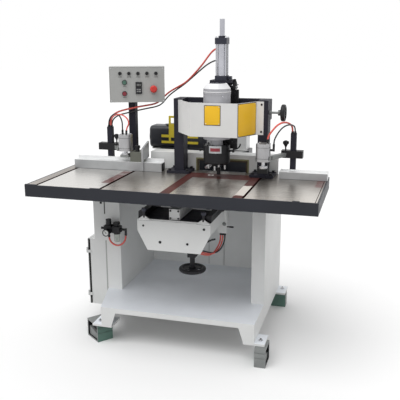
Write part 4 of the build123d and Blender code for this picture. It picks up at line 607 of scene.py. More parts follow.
def paint(node, base, *patches):
    """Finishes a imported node; a patch is a finish and a rule that picks faces by middles and normals."""
    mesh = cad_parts[node].data
    middles, normals = np.empty((2, len(mesh.polygons), 3))
    mesh.polygons.foreach_get("center", middles.reshape(-1))
    mesh.polygons.foreach_get("normal", normals.reshape(-1))
    numbers = np.zeros(len(middles), np.int32)
    mesh.materials.clear()
    mesh.materials.append(finish(base))
    for number, (name, rule) in enumerate(patches, start=1):
        mesh.materials.append(finish(name))
        numbers[rule(MM * middles, normals)] = number
    mesh.polygons.foreach_set("material_index", numbers)


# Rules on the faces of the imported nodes

def between(axis, low, high):
    """Faces whose middles lie between two values along an axis."""
    return lambda middles, normals: (middles[:, axis] > low) & (middles[:, axis] < high)


def within(low, high):
    """Faces whose middles lie in a box."""
    return lambda middles, normals: np.all((middles > low) & (middles < high), axis=1)


def facing(way, share):
    """Faces whose normals lean a given way by more than a share."""
    return lambda middles, normals: normals @ np.array(way) > share


def every(*rules):
    """Faces that keep every one of several rules."""
    return lambda middles, normals: np.all([rule(middles, normals) for rule in rules], axis=0)


def some(*rules):
    """Faces that keep at least one of several rules."""
    return lambda middles, normals: np.any([rule(middles, normals) for rule in rules], axis=0)


def proud(middles, normals):
    """Faces that stand out of the control panel."""
    return (middles - PANEL) @ PANEL_OUT > 0.5


def mount_frame(x, y, turn):
    """A mount's middle, the way along it and the way out of its window."""
    c, s = math.cos(math.radians(turn)), math.sin(math.radians(turn))
    return np.array((x, y, 0)), np.array((c, s, 0)), np.array((s, -c, 0))


def mount_patches(x, y, turn, length, width):
    """The green sides of a mount, all round on the left front one, and painted shade in its window's pocket.
    """
    here, along, out = mount_frame(x, y, turn)
    all_round = (x, y) == MOUNTS[0][:2]

    def inside(middles, reach, near, away):
        a, b = (middles - here) @ along, (middles - here) @ out
        return (abs(a) < reach) & (b > near) & (b < away)

    def green(middles, normals):
        side = (normals @ out < -0.9) | (all_round & (abs(normals @ along) > 0.9))
        return side & inside(middles, length / 2 + 1, -width / 2 - 1, width / 2 + 1)

    # Painted shade: faces deep in the window's pocket take black steel
    def shaded_pocket(middles, normals):
        deep = inside(middles, length / 2 - 8.5, width / 2 - 22.6, width / 2 - 1)
        return deep & (middles[:, 2] > 8.5) & (middles[:, 2] < 96.5)

    return ("green_enamel", green), ("black_oxide", shaded_pocket)


PLAIN_NODES = {
    "cabinet_enamel": ("side_columns", "knee_hanger", "electrical_box"),
    "guard_enamel": ("head_guard",),
    "slate_enamel": ("table_frame",),
    "post_enamel": ("gantry_posts", "clamp_posts", "control_post"),
    "table_steel": ("table_plates",),
    "strip_laminate": ("wear_strips",),
    "fence_front": ("flip_stop",),
    "carrier_enamel": ("stop_carrier",),
    "bright_steel": ("feed_rod", "drive_spindle", "mortise_spindle"),
    "black_oxide": ("cross_carriage", "head_slide", "saddle", "drill_head_housing"),
    "yellow_enamel": ("mortise_bracket",),
    "green_plastic": ("green_button",),
    "crimson_plastic": ("red_button",),
    "red_plastic": ("emergency_button",),
    "black_plastic": ("selector_1", "selector_2", "selector_3", "selector_4", "selector_5", "left_star_knob",
                      "right_star_knob", "stop_knob", "regulator_knob"),
}
PATCHED_NODES = {
    # Painted light: the base frame's up-facing faces, the deck's top among them, take a paler, bluish copy of
    # its paint
    "base_frame": ("cabinet_enamel", ("deck_enamel", facing(UP, 0.9))),
    "rear_bulkhead": ("cabinet_enamel", ("olive_enamel", between(1, 80, 89.5))),
    # Painted shade: the front faces of the fences' front bars take a darker grey than the rest of the metal
    "fences": ("fence_metal", ("fence_front", every(facing(FRONT, 0.5), between(1, -FAR, -20)))),
    "crossbeam": ("post_enamel", ("bright_steel", within((-FAR, -FAR, 0), (FAR, 74.5, 1340)))),
    "frame_bolts": ("black_plastic", ("bright_steel", between(2, 0, 200))),
    "levelling_mounts": ("mount_steel", *[patch for mount in MOUNTS for patch in mount_patches(*mount)]),
    "mortise_unit": ("motor_enamel", ("cabinet_enamel", within((117, 200, 1000), (240, 600, 1200)))),
    # Painted light: up-facing faces of the drill motor take the paler, lit silver, the rest the darker,
    # shaded one
    "drill_motor": ("silver_casting", ("silver_top", facing(UP, 0.25))),
    "feed_cylinder": (
        "cap_metal",
        ("drawn_aluminium", within((130, 4, 1474.5), (193, 66, 1637.5))),
        ("drawn_aluminium", between(2, 1681.5, FAR)),
        # Painted shade: the barrel's left and right faces take the darker mount steel
        ("mount_steel", every(between(2, 1474.5, 1637.5), between(0, 132.5, 189.5),
                              some(facing(LEFT, 0.86), facing(RIGHT, 0.86))))),
    "cross_handwheel": ("black_plastic", ("mount_steel", between(0, 0, 478.5))),
    **{f"drill_spindle_{number}": ("black_oxide", ("bright_steel", between(2, 985.2, 1007.6)))
       for number in range(1, 5)},
    "knee": (
        "cabinet_enamel",
        ("black_oxide", within((-FAR, -400, 775.5), (FAR, -360, 808.5))),
        ("cap_metal", within((-FAR, -400, 808.5), (FAR, -360, FAR))),
        ("black_oxide", within((50, -287, 540), (102, -210, 611.5))),
        # Painted shade: up-facing faces inside the knee, behind its front plate, take the dark post paint
        ("post_enamel", every(facing(UP, 0.9), between(1, -378, FAR)))),
    "knee_rails": ("black_oxide", ("cabinet_enamel", between(0, -20, 50))),
    "lift_handwheel": ("black_plastic", ("bright_steel", between(2, 630, FAR))),
    "clamp_arms": (
        "mount_steel",
        ("black_oxide", within((-581, 40, 1000), (-463, 90, 1100))),
        ("black_oxide", within((489, 40, 1000), (607, 90, 1100)))),
    "clamp_cylinders": (
        "clamp_metal",
        ("black_plastic", within((-FAR, -FAR, 1142.1), (0, FAR, FAR))),
        ("black_plastic", within((0, -FAR, 1134.1), (FAR, FAR, FAR))),
        ("black_plastic", between(0, 451.5, FAR))),
    "left_plunger": ("bright_steel", ("mount_steel", between(2, 0, 1026.2))),
    "right_plunger": ("bright_steel", ("rubber", between(2, 0, 1002.2))),
    "electrical_door": (
        "cabinet_enamel",
        ("rubber", between(0, -626.4, -615)),
        ("cabinet_enamel", some(within((-660, -85, 0), (-600, -60.6, 1000)), facing(UP, 0.5)))),
    "control_box": (
        "control_enamel",
        ("black_plastic", every(proud, between(2, 0, UPPER_ROW))),
        ("label_enamel", every(proud, between(2, UPPER_ROW, FAR)))),
    "air_service_unit": ("black_plastic", ("clear_bowl", within((-437, -130, 530), (-399, -90, 591.5)))),
}


# Stage

class MORTISER_OT_stage(bpy.types.Operator):
    """Sets the camera, the key light, the even light and the pale floor"""
    bl_idname = "mortiser.stage"
    bl_label = "Stage"

    def execute(self, context):
        scene = context.scene
        stage = scene.mortiser_stage
        scene.view_settings.view_transform = "Standard"
        camera = bpy.data.objects.new("camera", bpy.data.cameras.new("camera"))
        camera.data.lens = stage.camera_lens
        camera.data.sensor_width = 36
        camera.data.clip_end = 200
        turn = Euler((math.pi / 2 - stage.camera_pitch, 0, stage.camera_yaw)).to_matrix()
        roll = Matrix.Rotation(stage.camera_roll, 3, "Z")
        camera.matrix_world = Matrix.Translation(stage.camera_place) @ (turn @ roll).to_4x4()
        scene.collection.objects.link(camera)
        scene.camera = camera
        self.light(scene, stage)
        self.floor(scene, stage)
        return {"FINISHED"}

    def seen(self, nodes):
        """1 for a ray that shows a surface to the camera: straight, mirrored or through the clear bowl."""
        path = nodes.node("ShaderNodeLightPath").outputs
        straight = nodes.maths("MAXIMUM", path["Is Camera Ray"], path["Is Transmission Ray"])
        return nodes.maths("MAXIMUM", straight, path["Is Glossy Ray"])

    def light(self, scene, stage):
        key = bpy.data.objects.new("key_light", bpy.data.lights.new("key_light", "SUN"))
        key.data.energy = stage.sun_level
        key.data.angle = stage.sun_softness
        key.rotation_euler = Vector(stage.sun_way).to_track_quat("-Z", "Y").to_euler()
        scene.collection.objects.link(key)
        scene.world = bpy.data.worlds.new("studio")
        scene.world.use_nodes = True
        nodes = Nodes(scene.world.node_tree)
        nodes.tree.nodes.clear()
        light, plain = (nodes.node("ShaderNodeBackground", Color=(1, 1, 1, 1), Strength=level).outputs[0]
                        for level in (stage.sky_level, 1))
        pick = nodes.node("ShaderNodeMixShader", self.seen(nodes), light, plain)
        nodes.node("ShaderNodeOutputWorld", pick.outputs[0])

    def floor(self, scene, stage):
        mesh = bpy.data.meshes.new("floor")
        side = np.linspace(-stage.floor_reach, stage.floor_reach, 3)
        x, y = np.meshgrid(side, side)
        points = np.stack((x, y, np.zeros_like(x)), -1).reshape(-1, 3)
        mesh.from_pydata(points, [], [[i, i + 1, i + 4, i + 3] for i in (0, 1, 3, 4)])
        recipe = Recipe("studio_floor", roughness=0.9)
        tones = [shade(stage.floor_colour, factor) for factor in (0.99, 1.01)]
        plain = recipe.mix(recipe.cloud(0.6, 3), *tones)
        recipe.set("Base Color", recipe.mix(self.seen(recipe), shade(stage.floor_fill, 1), plain))
        recipe.set("Specular IOR Level", 0.0)
        mesh.materials.append(recipe.done())
        ground = bpy.data.objects.new("floor", mesh)
        scene.collection.objects.link(ground)


# Air hoses

# Each hose: the node that it stands for, its name, finish, gauge and length, and its route
HOSES = (
    ("feed_hoses", "feed_hose_red", "red_hose", "wide", 950, (
        (-519, 72, 1172), (-519, 72, 1200), (-503, 66, 1234), (-464, 60, 1260), (-412, 58, 1275),
        (-355, 64, 1288), (-305, 90, 1297), (-275, 140, 1300), (-257, 190, 1308), (-238, 222, 1336),
        (-200, 232, 1369), (-145, 215, 1397), (-85, 180, 1426), (-22, 140, 1478), (35, 95, 1528),
        (64, 87, 1565), (86, 83, 1591), (103, 83, 1607), (122, 83, 1616), (145, 83, 1616))),
    ("feed_hoses", "feed_hose_black", "black_hose", "slim", 947, (
        (-505, 72, 1172), (-505, 72, 1198), (-488, 70, 1224), (-452, 68, 1244), (-402, 70, 1256),
        (-348, 80, 1269), (-298, 106, 1280), (-262, 154, 1285), (-240, 204, 1297), (-215, 236, 1339),
        (-168, 233, 1374), (-111, 207, 1407), (-50, 169, 1449), (10, 128, 1494), (62, 110, 1532),
        (108, 100, 1553), (138, 92, 1548), (155, 86, 1532), (161, 83, 1510), (161, 83, 1484.5))),
    ("clamp_hoses", "left_clamp_hose_black", "black_hose", "slim", 235, (
        (-519, 58, 1172), (-519, 58, 1202), (-500, 50, 1236), (-466, 42, 1254), (-436, 32, 1241),
        (-417, 18, 1208), (-413, 8, 1180), (-413, 8, 1154))),
    ("clamp_hoses", "left_clamp_hose_red", "red_hose", "slim", 276, (
        (-505, 58, 1172), (-505, 58, 1200), (-488, 44, 1234), (-450, 22, 1251), (-408, 4, 1252),
        (-374, -4, 1230), (-367, -4, 1201), (-384, -4, 1176), (-385, -4, 1154))),
    ("clamp_hoses", "right_clamp_hose_red", "red_hose", "wide", 275, (
        (546, 65, 1172), (546, 65, 1198), (539, 48, 1221), (522, 14, 1236), (500, -25, 1239),
        (479, -53, 1227), (459, -70, 1203), (436, -78, 1168), (436, -78, 1146))),
    ("clamp_hoses", "right_clamp_hose_black", "black_hose", "slim", 259, (
        (560, 65, 1172), (560, 65, 1196), (555, 46, 1216), (538, 10, 1226), (514, -26, 1221),
        (492, -50, 1199), (474, -63, 1166), (467, -66, 1144), (467, -66, 1120))),
    ("service_hose", "service_hose_red", "red_hose", "wide", 188, (
        (-364, -110, 587), (-364, -110, 560), (-378, -112, 530), (-410, -113, 511), (-446, -112, 519),
        (-468, -110, 545), (-468, -110, 570))),
    *[("table_hoses", f"table_hose_{number}", tint, "slim", length, (
        (start, -88, 630), (start, -88, 604), (start - 3, -100, 575), (start - 12, -130, 551),
        ((start + 148) / 2, (end - 108) / 2, 538), (152, end + 22, 551), (126, end, 565), (100, end, 565)))
      for number, tint, length, start, end in (
          (1, "red_hose", 280, 189, -273), (2, "red_hose", 261, 201, -249),
          (3, "black_hose", 246, 213, -225))],
)


def hose_body(node):
    return "knee" if node == "table_hoses" else "frame"


class MORTISER_OT_hoses(bpy.types.Operator):
    """Lays each air hose along its route as one smooth spline"""
    bl_idname = "mortiser.hoses"
    bl_label = "Air hoses"

    def execute(self, context):
        scene = context.scene
        for node, name, tint, gauge, length, route in HOSES:
            diameter = getattr(scene.mortiser_hoses, gauge)
            points = np.array(route) / MM
            curve = bpy.data.curves.new(name, "CURVE")
            curve.dimensions = "3D"
            curve.bevel_depth = diameter / 2
            curve.bevel_resolution = 4
            curve.resolution_u = 8
            curve.use_fill_caps = True
            spline = curve.splines.new("NURBS")
            spline.points.add(len(points) - 1)
            spline.points.foreach_set("co", np.c_[points, np.ones(len(points))].ravel())
            spline.order_u = 3
            spline.use_endpoint_u = True
            curve.materials.append(finish(tint))
            hose = bpy.data.objects.new(name, curve)
            scene.collection.objects.link(hose)
            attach(hose, hose_body(node))
            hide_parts(node)
        return {"FINISHED"}


class MORTISER_OT_hose_collars(bpy.types.Operator):
    """Puts a grooved push-in collar on each end of every hose"""
    bl_idname = "mortiser.hose_collars"
    bl_label = "Hose collars"

    def execute(self, context):
        sizes = context.scene.mortiser_hoses
        wall, reach = in_mm(sizes, "collar_wall", "collar_length")
        collars = {"frame": [], "knee": []}
        for node, _, _, gauge, _, route in HOSES:
            inner = MM * getattr(sizes, gauge) / 2
            outer, bore = inner + wall, inner + 0.2
            profile = (
                (bore, 0), (outer, 0), (outer, 0.55 * reach),
                (0.9 * outer, 0.62 * reach), (0.9 * outer, 0.68 * reach),
                (0.98 * outer, 0.74 * reach), (0.98 * outer, 0.94 * reach),
                (0.9 * outer, reach), (bore, reach))
            points = np.array(route)
            for end, beside in ((points[0], points[1]), (points[-1], points[-2])):
                collars[hose_body(node)].append(turned(end, beside - end, profile, 20))
        for body, shapes in collars.items():
            piece(f"hose_collars_{body}", body, "black_plastic", ("black_plastic", *shapes))
        return {"FINISHED"}


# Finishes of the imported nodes

class MORTISER_OT_finishes(bpy.types.Operator):
    """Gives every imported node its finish, with patches where a node has several"""
    bl_idname = "mortiser.finishes"
    bl_label = "Finishes"

    def execute(self, context):
        for name, nodes in PLAIN_NODES.items():
            for node in nodes:
                paint(node, name)
        for node, finishes in PATCHED_NODES.items():
            paint(node, *finishes)
        return {"FINISHED"}


# Plain plates

class MORTISER_OT_guard_plates(bpy.types.Operator):
    """Fixes two plain amber plates with dark lines and rivets to the guard, and the washers of its screws"""
    bl_idname = "mortiser.guard_plates"
    bl_label = "Guard plates"

    def execute(self, context):
        sizes = context.scene.mortiser_plates
        low, high = corners("head_guard")
        facet = np.array((72, 148, 0))
        out = axes(np.cross(facet, UP))[2]
        square = np.array((157, low[1], 1280.5))
        tall = np.array((288.5, low[1], (low[2] + high[2]) / 2)) + facet / 2 + 0.2 * out
        self.fix(sizes, "square_amber_plate", square, FRONT, *in_mm(sizes, "square_width", "square_height"))
        self.fix(sizes, "tall_amber_plate", tall, out, *in_mm(sizes, "tall_width", "tall_height"))
        washers = [turned((387.5, -7, z), FRONT, ((5.8, 0), (5.8, 0.9), (5, 1.3))) for z in (1184, 1328)]
        piece("guard_washers", "frame", "black_plastic", ("black_plastic", *washers))
        return {"FINISHED"}

    def fix(self, sizes, name, place, way, width, height):
        u, v, w = axes(way)
        thickness, corner, border = in_mm(sizes, "thickness", "corner", "border")
        line = slab(place, way, width, height, thickness, corner)
        sheet = slab(place + (thickness - 0.3) * w, way, width - 2 * border, height - 2 * border, 0.6, corner)
        rivets = [turned(place + thickness * w + du * (width / 2 - 8) * u + dv * (height / 2 - 8) * v, way,
                         ((2.6, 0), (2.4, 0.9), (1.4, 1.4)), 16) for du in (-1, 1) for dv in (-1, 1)]
        piece(name, "frame", "yellow_paint",
              ("black_plastic", line), ("amber_enamel", sheet), ("bright_steel", *rivets))


# Table trim

class MORTISER_OT_table_trim(bpy.types.Operator):
    """Lays the table's seam strips, plugs and rim clips, the window's lining and the left fence's end cap"""
    bl_idname = "mortiser.table_trim"
    bl_label = "Table trim"

    def execute(self, context):
        rise = MM * context.scene.mortiser_trim.strip_rise
        window_face, band = 84, 9
        lining = [slab((x, window_face, 968), FRONT, band, 60, 0.8, 1, 0.3) for x in (11.5, 293.5)]
        lining.append(slab((152.5, window_face, 1000.5), FRONT, 291, band, 0.8, 1, 0.3))
        piece("window_lining", "frame", "olive_paint", ("lining_enamel", *lining))
        end = slab((-172, 4, 963), RIGHT, 46, 44, 3, 3)
        # Painted shadow: thin black strips on the table along the foot of each fence
        fence_foot_shadows = [slab((x, -26.4, TABLE_TOP), UP, width, 2.8, 0.8, 0.6, 0.2)
                for x, width in ((-439, 534), (619.5, 255))]
        piece("fence_end_cap", "frame", "black_plastic", ("black_plastic", end, *fence_foot_shadows))
        front = -500
        strips = [slab((x, (rear + front) / 2, TABLE_TOP), UP, width, rear - front, rise, 1, 0.2)
                  for x, width, rear in ((-686.5, 13, -32), (-333, 15, -32), (396, 12, -26), (733.3, 3, -32))]
        piece("table_seam_strips", "frame", "wear_strip_brown", ("seam_laminate", *strips))
        plugs = [turned((x, y, TABLE_TOP), UP, ((7.5, 0), (7.5, 1.2), (6.2, 2.2), (2, 2.6)))
                 for x, y in ((108, -30), (127, -28))]
        piece("table_plugs", "frame", "ground_steel", ("dial_face", *plugs))
        clips = [slab((x, -505, TABLE_TOP), UP, width, 10, 3.4)
                 for x, width in ((-716.5, 66), (-357, 56), (646, 34))]
        piece("table_rim_clips", "frame", "table_dark_paint", ("slate_enamel", *clips))
        return {"FINISHED"}


# Control panel

class MORTISER_OT_control_panel(bpy.types.Operator):
    """Adds the timer's display and keys, the panel's labels, screws and rim, and the grommet under its box"""
    bl_idname = "mortiser.control_panel"
    bl_label = "Control panel"

    def place(self, x, z, out=0):
        return PANEL + x * PANEL_ALONG + np.array((0, 0, z)) + out * PANEL_OUT

    def tag(self, x, z, width, height, thickness, corner, out=0):
        return slab(self.place(x, z, out), PANEL_OUT, width, height, thickness, corner)

    def execute(self, context):
        seam = MM * context.scene.mortiser_trim.seam
        timer_x, display_z, face = 9, -1.5, 7
        display = self.tag(timer_x, display_z, 26, 18, 0.8, 1.5, face)
        digits = [self.tag(timer_x + dx, display_z, 4, 11, 0.3, 1, face + 0.8) for dx in (-8, 0, 8)]
        keypad = self.tag(timer_x, -32.5, 27, 26, 1, 2, face)
        keys = [self.tag(timer_x + dx, z, 7.5, 7, 1, 1.5, face + 1)
                for dx in (-8, 1.5, 8.5) for z in (-27, -38)]
        piece("timer_face", "frame", "black_plastic",
              ("black_plastic", display), ("post_enamel", keypad), ("label_enamel", *digits, *keys))
        labels = [self.tag(x, 42.5, 22, 5, 0.6, 1) for x in (-94, -44, 6, 56, 106)]
        labels += [self.tag(x, z, 20, 5, 0.6, 1) for x, z in ((-70, -8.5), (-71, -70.5), (92, -52))]
        piece("panel_labels", "frame", "control_grey", ("label_enamel", *labels))
        screws = [socket_head(self.place(x, z), PANEL_OUT, 3.2, 1.6) for x in (-146, 146) for z in (-90, 90)]
        piece("panel_screws", "frame", "bright_steel", ("bright_steel", *screws))
        rim = [self.tag(0, z, 308, seam, 1.2, 0.9) for z in (-96.8, 96.8)]
        rim += [self.tag(x, 0, seam, 191.6, 1.2, 0.9) for x in (-152.8, 152.8)]
        piece("panel_rim", "frame", "control_grey", ("control_enamel", *rim))
        grommet = turned((-385, 110, 1320), DOWN, ((26, 0), (26, 4), (23, 9)), 32)
        piece("control_grommet", "frame", "black_plastic", ("rubber", grommet))
        return {"FINISHED"}


# Drill head, motors and feed cylinder

class MORTISER_OT_drill_head_trim(bpy.types.Operator):
    """Fixes the bent silver plate with its plain red bar, screws, bands, two levers, a block and a catch"""
    bl_idname = "mortiser.drill_head_trim"
    bl_label = "Drill head trim"

    def execute(self, context):
        front = math.radians(-83)
        plate = wrapped(HEAD_AXIS, 71.2, front, 0.47, 1080, 1119, 1.6)
        bar = wrapped(HEAD_AXIS, 72.8, front, 0.36, 1090, 1108, 0.5)
        piece("drill_head_plate", "head", "bright_steel", ("fence_front", plate), ("crimson_plastic", bar))
        screws = [socket_head(HEAD_AXIS + (66 * math.cos(a), 66 * math.sin(a), 1116), UP, 4.5, 5)
                  for a in np.arange(8) * np.pi / 4 + 0.2]
        bands = [wrapped(HEAD_AXIS, 71.1, 0, ALL_ROUND, z, z + 3, 0.9, 64) for z in (1030, 1066, 1072)]
        piece("drill_head_screws", "head", "black_steel", ("black_oxide", *screws, *bands))
        lever = ((7, 0), (7, 6), (4.5, 8), (4.5, 14), (7.5, 17), (8.5, 24), (6, 28))
        levers = [turned(HEAD_AXIS + (dx, 0, 1086), way, lever) for dx, way in ((-69, LEFT), (69, RIGHT))]
        piece("drill_head_levers", "head", "black_steel", ("black_plastic", *levers))
        block = slab((213.5, 10, 1086), UP, 83, 14, 66, 3, 1.5)
        piece("drill_head_block", "head", "black_steel", ("black_oxide", block))
        hook = rod(arc((262, -66, 1120), (26, 0, 4), (-2, 4, -26), 2.1), 3.5)
        stem = turned((236, -60, 1128), (1, -0.1, 0), ((7, 0), (7, 10), (4, 12), (4, 30)), 20)
        piece("drill_head_catch", "head", "black_steel", ("black_oxide", hook, stem))
        return {"FINISHED"}


class MORTISER_OT_motor_trim(bpy.types.Operator):
    """Adds the drill motor's rings, screws and grille, and the swing motor's cover, grille, lid and seat"""
    bl_idname = "mortiser.motor_trim"
    bl_label = "Motor trim"

    def execute(self, context):
        # Painted highlight: the seam ring takes the paler, lit silver; painted shade: the thin ring under it
        # a darker grey
        seam = wrapped(HEAD_AXIS, 71.9, 0, ALL_ROUND, 1395.5, 1400, 1.6, 72)
        seam_shade_line = wrapped(HEAD_AXIS, 71.9, 0, ALL_ROUND, 1393.5, 1395.5, 0.5, 72)
        piece("drill_motor_rings", "head", "silver_casting", ("silver_top", seam), ("label_enamel", seam_shade_line))
        ways = [np.array((math.cos(a), math.sin(a), 0)) for a in np.arange(4) * np.pi / 2 - 0.9]
        screws = [socket_head(HEAD_AXIS + 72 * way + (0, 0, 1376), way, 4, 3) for way in ways]
        piece("drill_motor_screws", "head", "bright_steel", ("bright_steel", *screws))
        vents = [ring(HEAD_AXIS + (0, 0, 1440), UP, r, r + 2.2, 1.2, 48) for r in (16, 24, 32, 40)]
        piece("drill_motor_grille", "head", "silver_casting", ("cap_metal", *vents))
        cover = slab(SWING_MOTOR + (-128, 0, 0), LEFT, 132, 136, 245.5, 30, 15)
        seat = slab(SWING_MOTOR + (-246, 0, -67.5), DOWN, 225, 118, 7, 4, 2)
        slots = [ring(SWING_MOTOR + (-373.5, 0, 0), LEFT, r, r + 3, 1.2, 48) for r in (16, 26, 36, 46)]
        lid = slab(SWING_MOTOR + (-225, -10, 68), UP, 88, 70, 10, 8, 3)
        gland = turned(SWING_MOTOR + (-269, -10, 73), LEFT,
                       ((4.5, 0), (4.5, 6), (3.6, 7), (3.6, 13), (2, 16)), 20)
        piece("swing_motor_cover", "mortise_unit", "black_steel",
              ("motor_enamel", cover, lid), ("black_plastic", *slots, gland), ("label_enamel", seat))
        return {"FINISHED"}


class MORTISER_OT_cylinder_trim(bpy.types.Operator):
    """Adds the feed cylinder's tie rod nuts and its valve with coil, fittings, silencer and lead"""
    bl_idname = "mortiser.cylinder_trim"
    bl_label = "Cylinder trim"

    def execute(self, context):
        nuts = [shape for dx in (-26, 26) for dy in (-26, 26)
                for shape in hex_head(CYLINDER_AXIS + (dx, dy, 1670), UP, 5.2, 6)]
        piece("tie_rod_nuts", "frame", "bright_steel", ("bright_steel", *nuts))
        valve = slab((226, 58, 1404), UP, 20, 26, 34, 3, 1.5)
        coil = turned((226, 58, 1438), UP, ((8.5, 0), (8.5, 14), (7, 17), (3, 18)))
        fitting = ((4.5, 0), (4.5, 4), (3.4, 5), (3.4, 8), (4.2, 9), (4.2, 12))
        fittings = [turned(place, RIGHT, fitting, 18) for place in ((235, 50, 1412), (235, 64, 1426))]
        silencer = turned((220, 46, 1424), (-0.2, -1, 0), ((4, 0), (4, 4), (5, 5), (5, 14), (2.5, 16)), 18)
        lead_path = ((228, 50, 1452), (236, 40, 1450), (243, 32, 1440), (246, 28, 1422), (244, 30, 1396))
        lead = rod(lead_path, 1.8, 10)
        piece("feed_valve", "frame", "black_plastic",
              ("black_plastic", valve, coil, lead), ("bright_steel", silencer, *fittings))
        return {"FINISHED"}


# Clamps

class MORTISER_OT_clamp_trim(bpy.types.Operator):
    """Adds cap lines and screws on the clamp cylinders, plugs on the posts and the hubs of the star knobs"""
    bl_idname = "mortiser.clamp_trim"
    bl_label = "Clamp trim"

    def execute(self, context):
        screws, lines = [], []
        for x, y, low in ((-393, 0, 1048), (414, -80, 1040)):
            top = low + 94
            screws += [socket_head((x + dx, y + dy, top), UP, 4.2, 3) for dx in (-23, 23) for dy in (-23, 23)]
            lines += [self.band(x, y, z, 1.6) for z in (low + 16, top - 20)]
        piece("clamp_cap_screws", "frame", "bright_steel", ("bright_steel", *screws))
        piece("clamp_cap_lines", "frame", "black_plastic", ("black_plastic", *lines))
        plugs = [slab((x, CLAMP_POST_Y, CLAMP_POST_TOP), UP, 31, 31, 2, 4) for x in (-512, 553)]
        piece("clamp_post_plugs", "frame", "black_plastic", ("black_plastic", *plugs))
        knob_low, knob_high = 1114, 1128
        for side, x in (("left", -475), ("right", 511)):
            hub = turned((x, CLAMP_POST_Y, knob_low), DOWN, ((12.5, 0), (11.8, 3), (6.2, 13), (5, 17)))
            cap = turned((x, CLAMP_POST_Y, knob_high), UP, ((10, 0), (9.5, 2), (6, 4.4), (2, 5)))
            piece(f"{side}_knob_hub", f"{side}_star_knob", "black_plastic", ("black_plastic", hub, cap))
        return {"FINISHED"}

    def band(self, x, y, z, rise):
        """A thin line round a clamp body: the body's outline at two widths."""
        return skin(np.stack([
            np.c_[outline(74 + step, 74 + step, 26 + step / 2, 10) + (x, y), np.full(40, height)]
            for step, height in ((-1, z), (0.8, z), (0.8, z + rise), (-1, z + rise))]))


# Knee, handwheels and cabinet

class MORTISER_OT_knee_trim(bpy.types.Operator):
    """Adds the knee's screws, its bracket's bolt, its lever and pin, and the pads under its stop bolts"""
    bl_idname = "mortiser.knee_trim"
    bl_label = "Knee trim"

    def execute(self, context):
        screws = [socket_head((x, KNEE_FRONT, z), FRONT, radius, 2.2) for x, z, radius in (
            (-148, 732, 5.5), (177, 735, 6.5), (-58, 649, 7.5), (89, 650, 6.5))]
        piece("knee_front_screws", "knee", "black_steel", ("black_oxide", *screws))
        block_screws = [socket_head((x, -370, z), FRONT, 5, 3) for x in (-6, 36) for z in (776, 815)]
        piece("knee_block_screws", "knee", "bright_steel", ("black_oxide", *block_screws))
        bolt = hex_head((210, -93, 684), FRONT, 8, 8)
        piece("knee_bracket_bolts", "knee", "bright_steel", ("mount_steel", *bolt))
        lever = rod(((186, -376.5, 664), (200, -377, 673), (216, -378, 681), (233, -379, 686)), 4.5)
        pin = turned((224, -88, 668), RIGHT, ((3.4, 0), (3.4, 14), (4.8, 16), (4.8, 34), (3.6, 37)), 20)
        piece("knee_lever", "knee", "black_steel", ("black_plastic", lever, pin))
        stops, width = (-143, 173), 70
        pads = [slab((x, KNEE_FRONT, 763.5), FRONT, width, 5, 2.2, 1.2) for x in stops]
        # Painted shadow: a thin black line under each pad
        lines = [slab((x, KNEE_FRONT, 760), FRONT, width, 1.8, 1, 0.6, 0.2) for x in stops]
        piece("knee_stop_pads", "knee", "bright_steel", ("fence_metal", *pads), ("black_oxide", *lines))
        return {"FINISHED"}


class MORTISER_OT_wheel_trim(bpy.types.Operator):
    """Adds the hub caps of the two handwheels"""
    bl_idname = "mortiser.wheel_trim"
    bl_label = "Handwheel trim"

    def execute(self, context):
        cap = turned((509.5, 35, 1283), RIGHT, ((11, 0), (11, 2), (7, 5), (3, 5.5)))
        piece("cross_wheel_cap", "cross_handwheel", "black_plastic", ("black_oxide", cap))
        hub = turned((25, -85, 387), DOWN, ((12, 0), (12, 3), (8, 6), (3, 7)))
        piece("lift_wheel_cap", "lift_handwheel", "black_steel", ("black_oxide", hub))
        return {"FINISHED"}


class MORTISER_OT_cabinet_trim(bpy.types.Operator):
    """Adds the cabinet's seams, slit, knob and screws, and the electrical box's painted shade strip, gasket
    and latch
    """
    bl_idname = "mortiser.cabinet_trim"
    bl_label = "Cabinet trim"

    def execute(self, context):
        seam = MM * context.scene.mortiser_trim.seam
        seams = [slab((x, 492.8, 462), FRONT, seam, 466, 0.8, 0.6) for x in (-32, 69)]
        box_middle = 317.5
        # Painted shade: a grey strip down the electrical box's joint with the cabinet
        box_shade_strip = slab((-508, BOX_FRONT, box_middle), FRONT, 14, 404, 1.2, 2)
        slit = slab((-511, -65.2, 720), FRONT, 6, 78, 0.6, 3)
        knob = socket_head((-532, -65, 747), FRONT, 6.5, 3)
        piece("cabinet_seams", "frame", "cabinet_paint",
              ("label_enamel", *seams), ("control_enamel", box_shade_strip), ("rubber", slit, knob))
        gasket = slab((-615.5, BOX_FRONT, box_middle), FRONT, 3, 400, 1, 1)
        piece("box_gaskets", "frame", "black_plastic", ("rubber", gasket))
        screws = [socket_head((x, 510, z), REAR, 5, 2) for x in (-380, -120, 120, 330) for z in (245, 680)]
        piece("cabinet_screws", "frame", "bright_steel", ("mount_steel", *screws))
        place, rise = np.array((-630.6, 215, 320)), 5.6
        latch = turned(place, LEFT, ((13, 0), (13, 3), (10, 5), (10, 5.2), (4, rise)), 28)
        slot = slab(place + (-rise, 0, 0), LEFT, 3, 13, 0.6, 0.9)
        piece("door_latch", "electrical_door", "black_plastic",
              ("black_plastic", latch), ("bright_steel", slot))
        return {"FINISHED"}


# Air service unit and feet

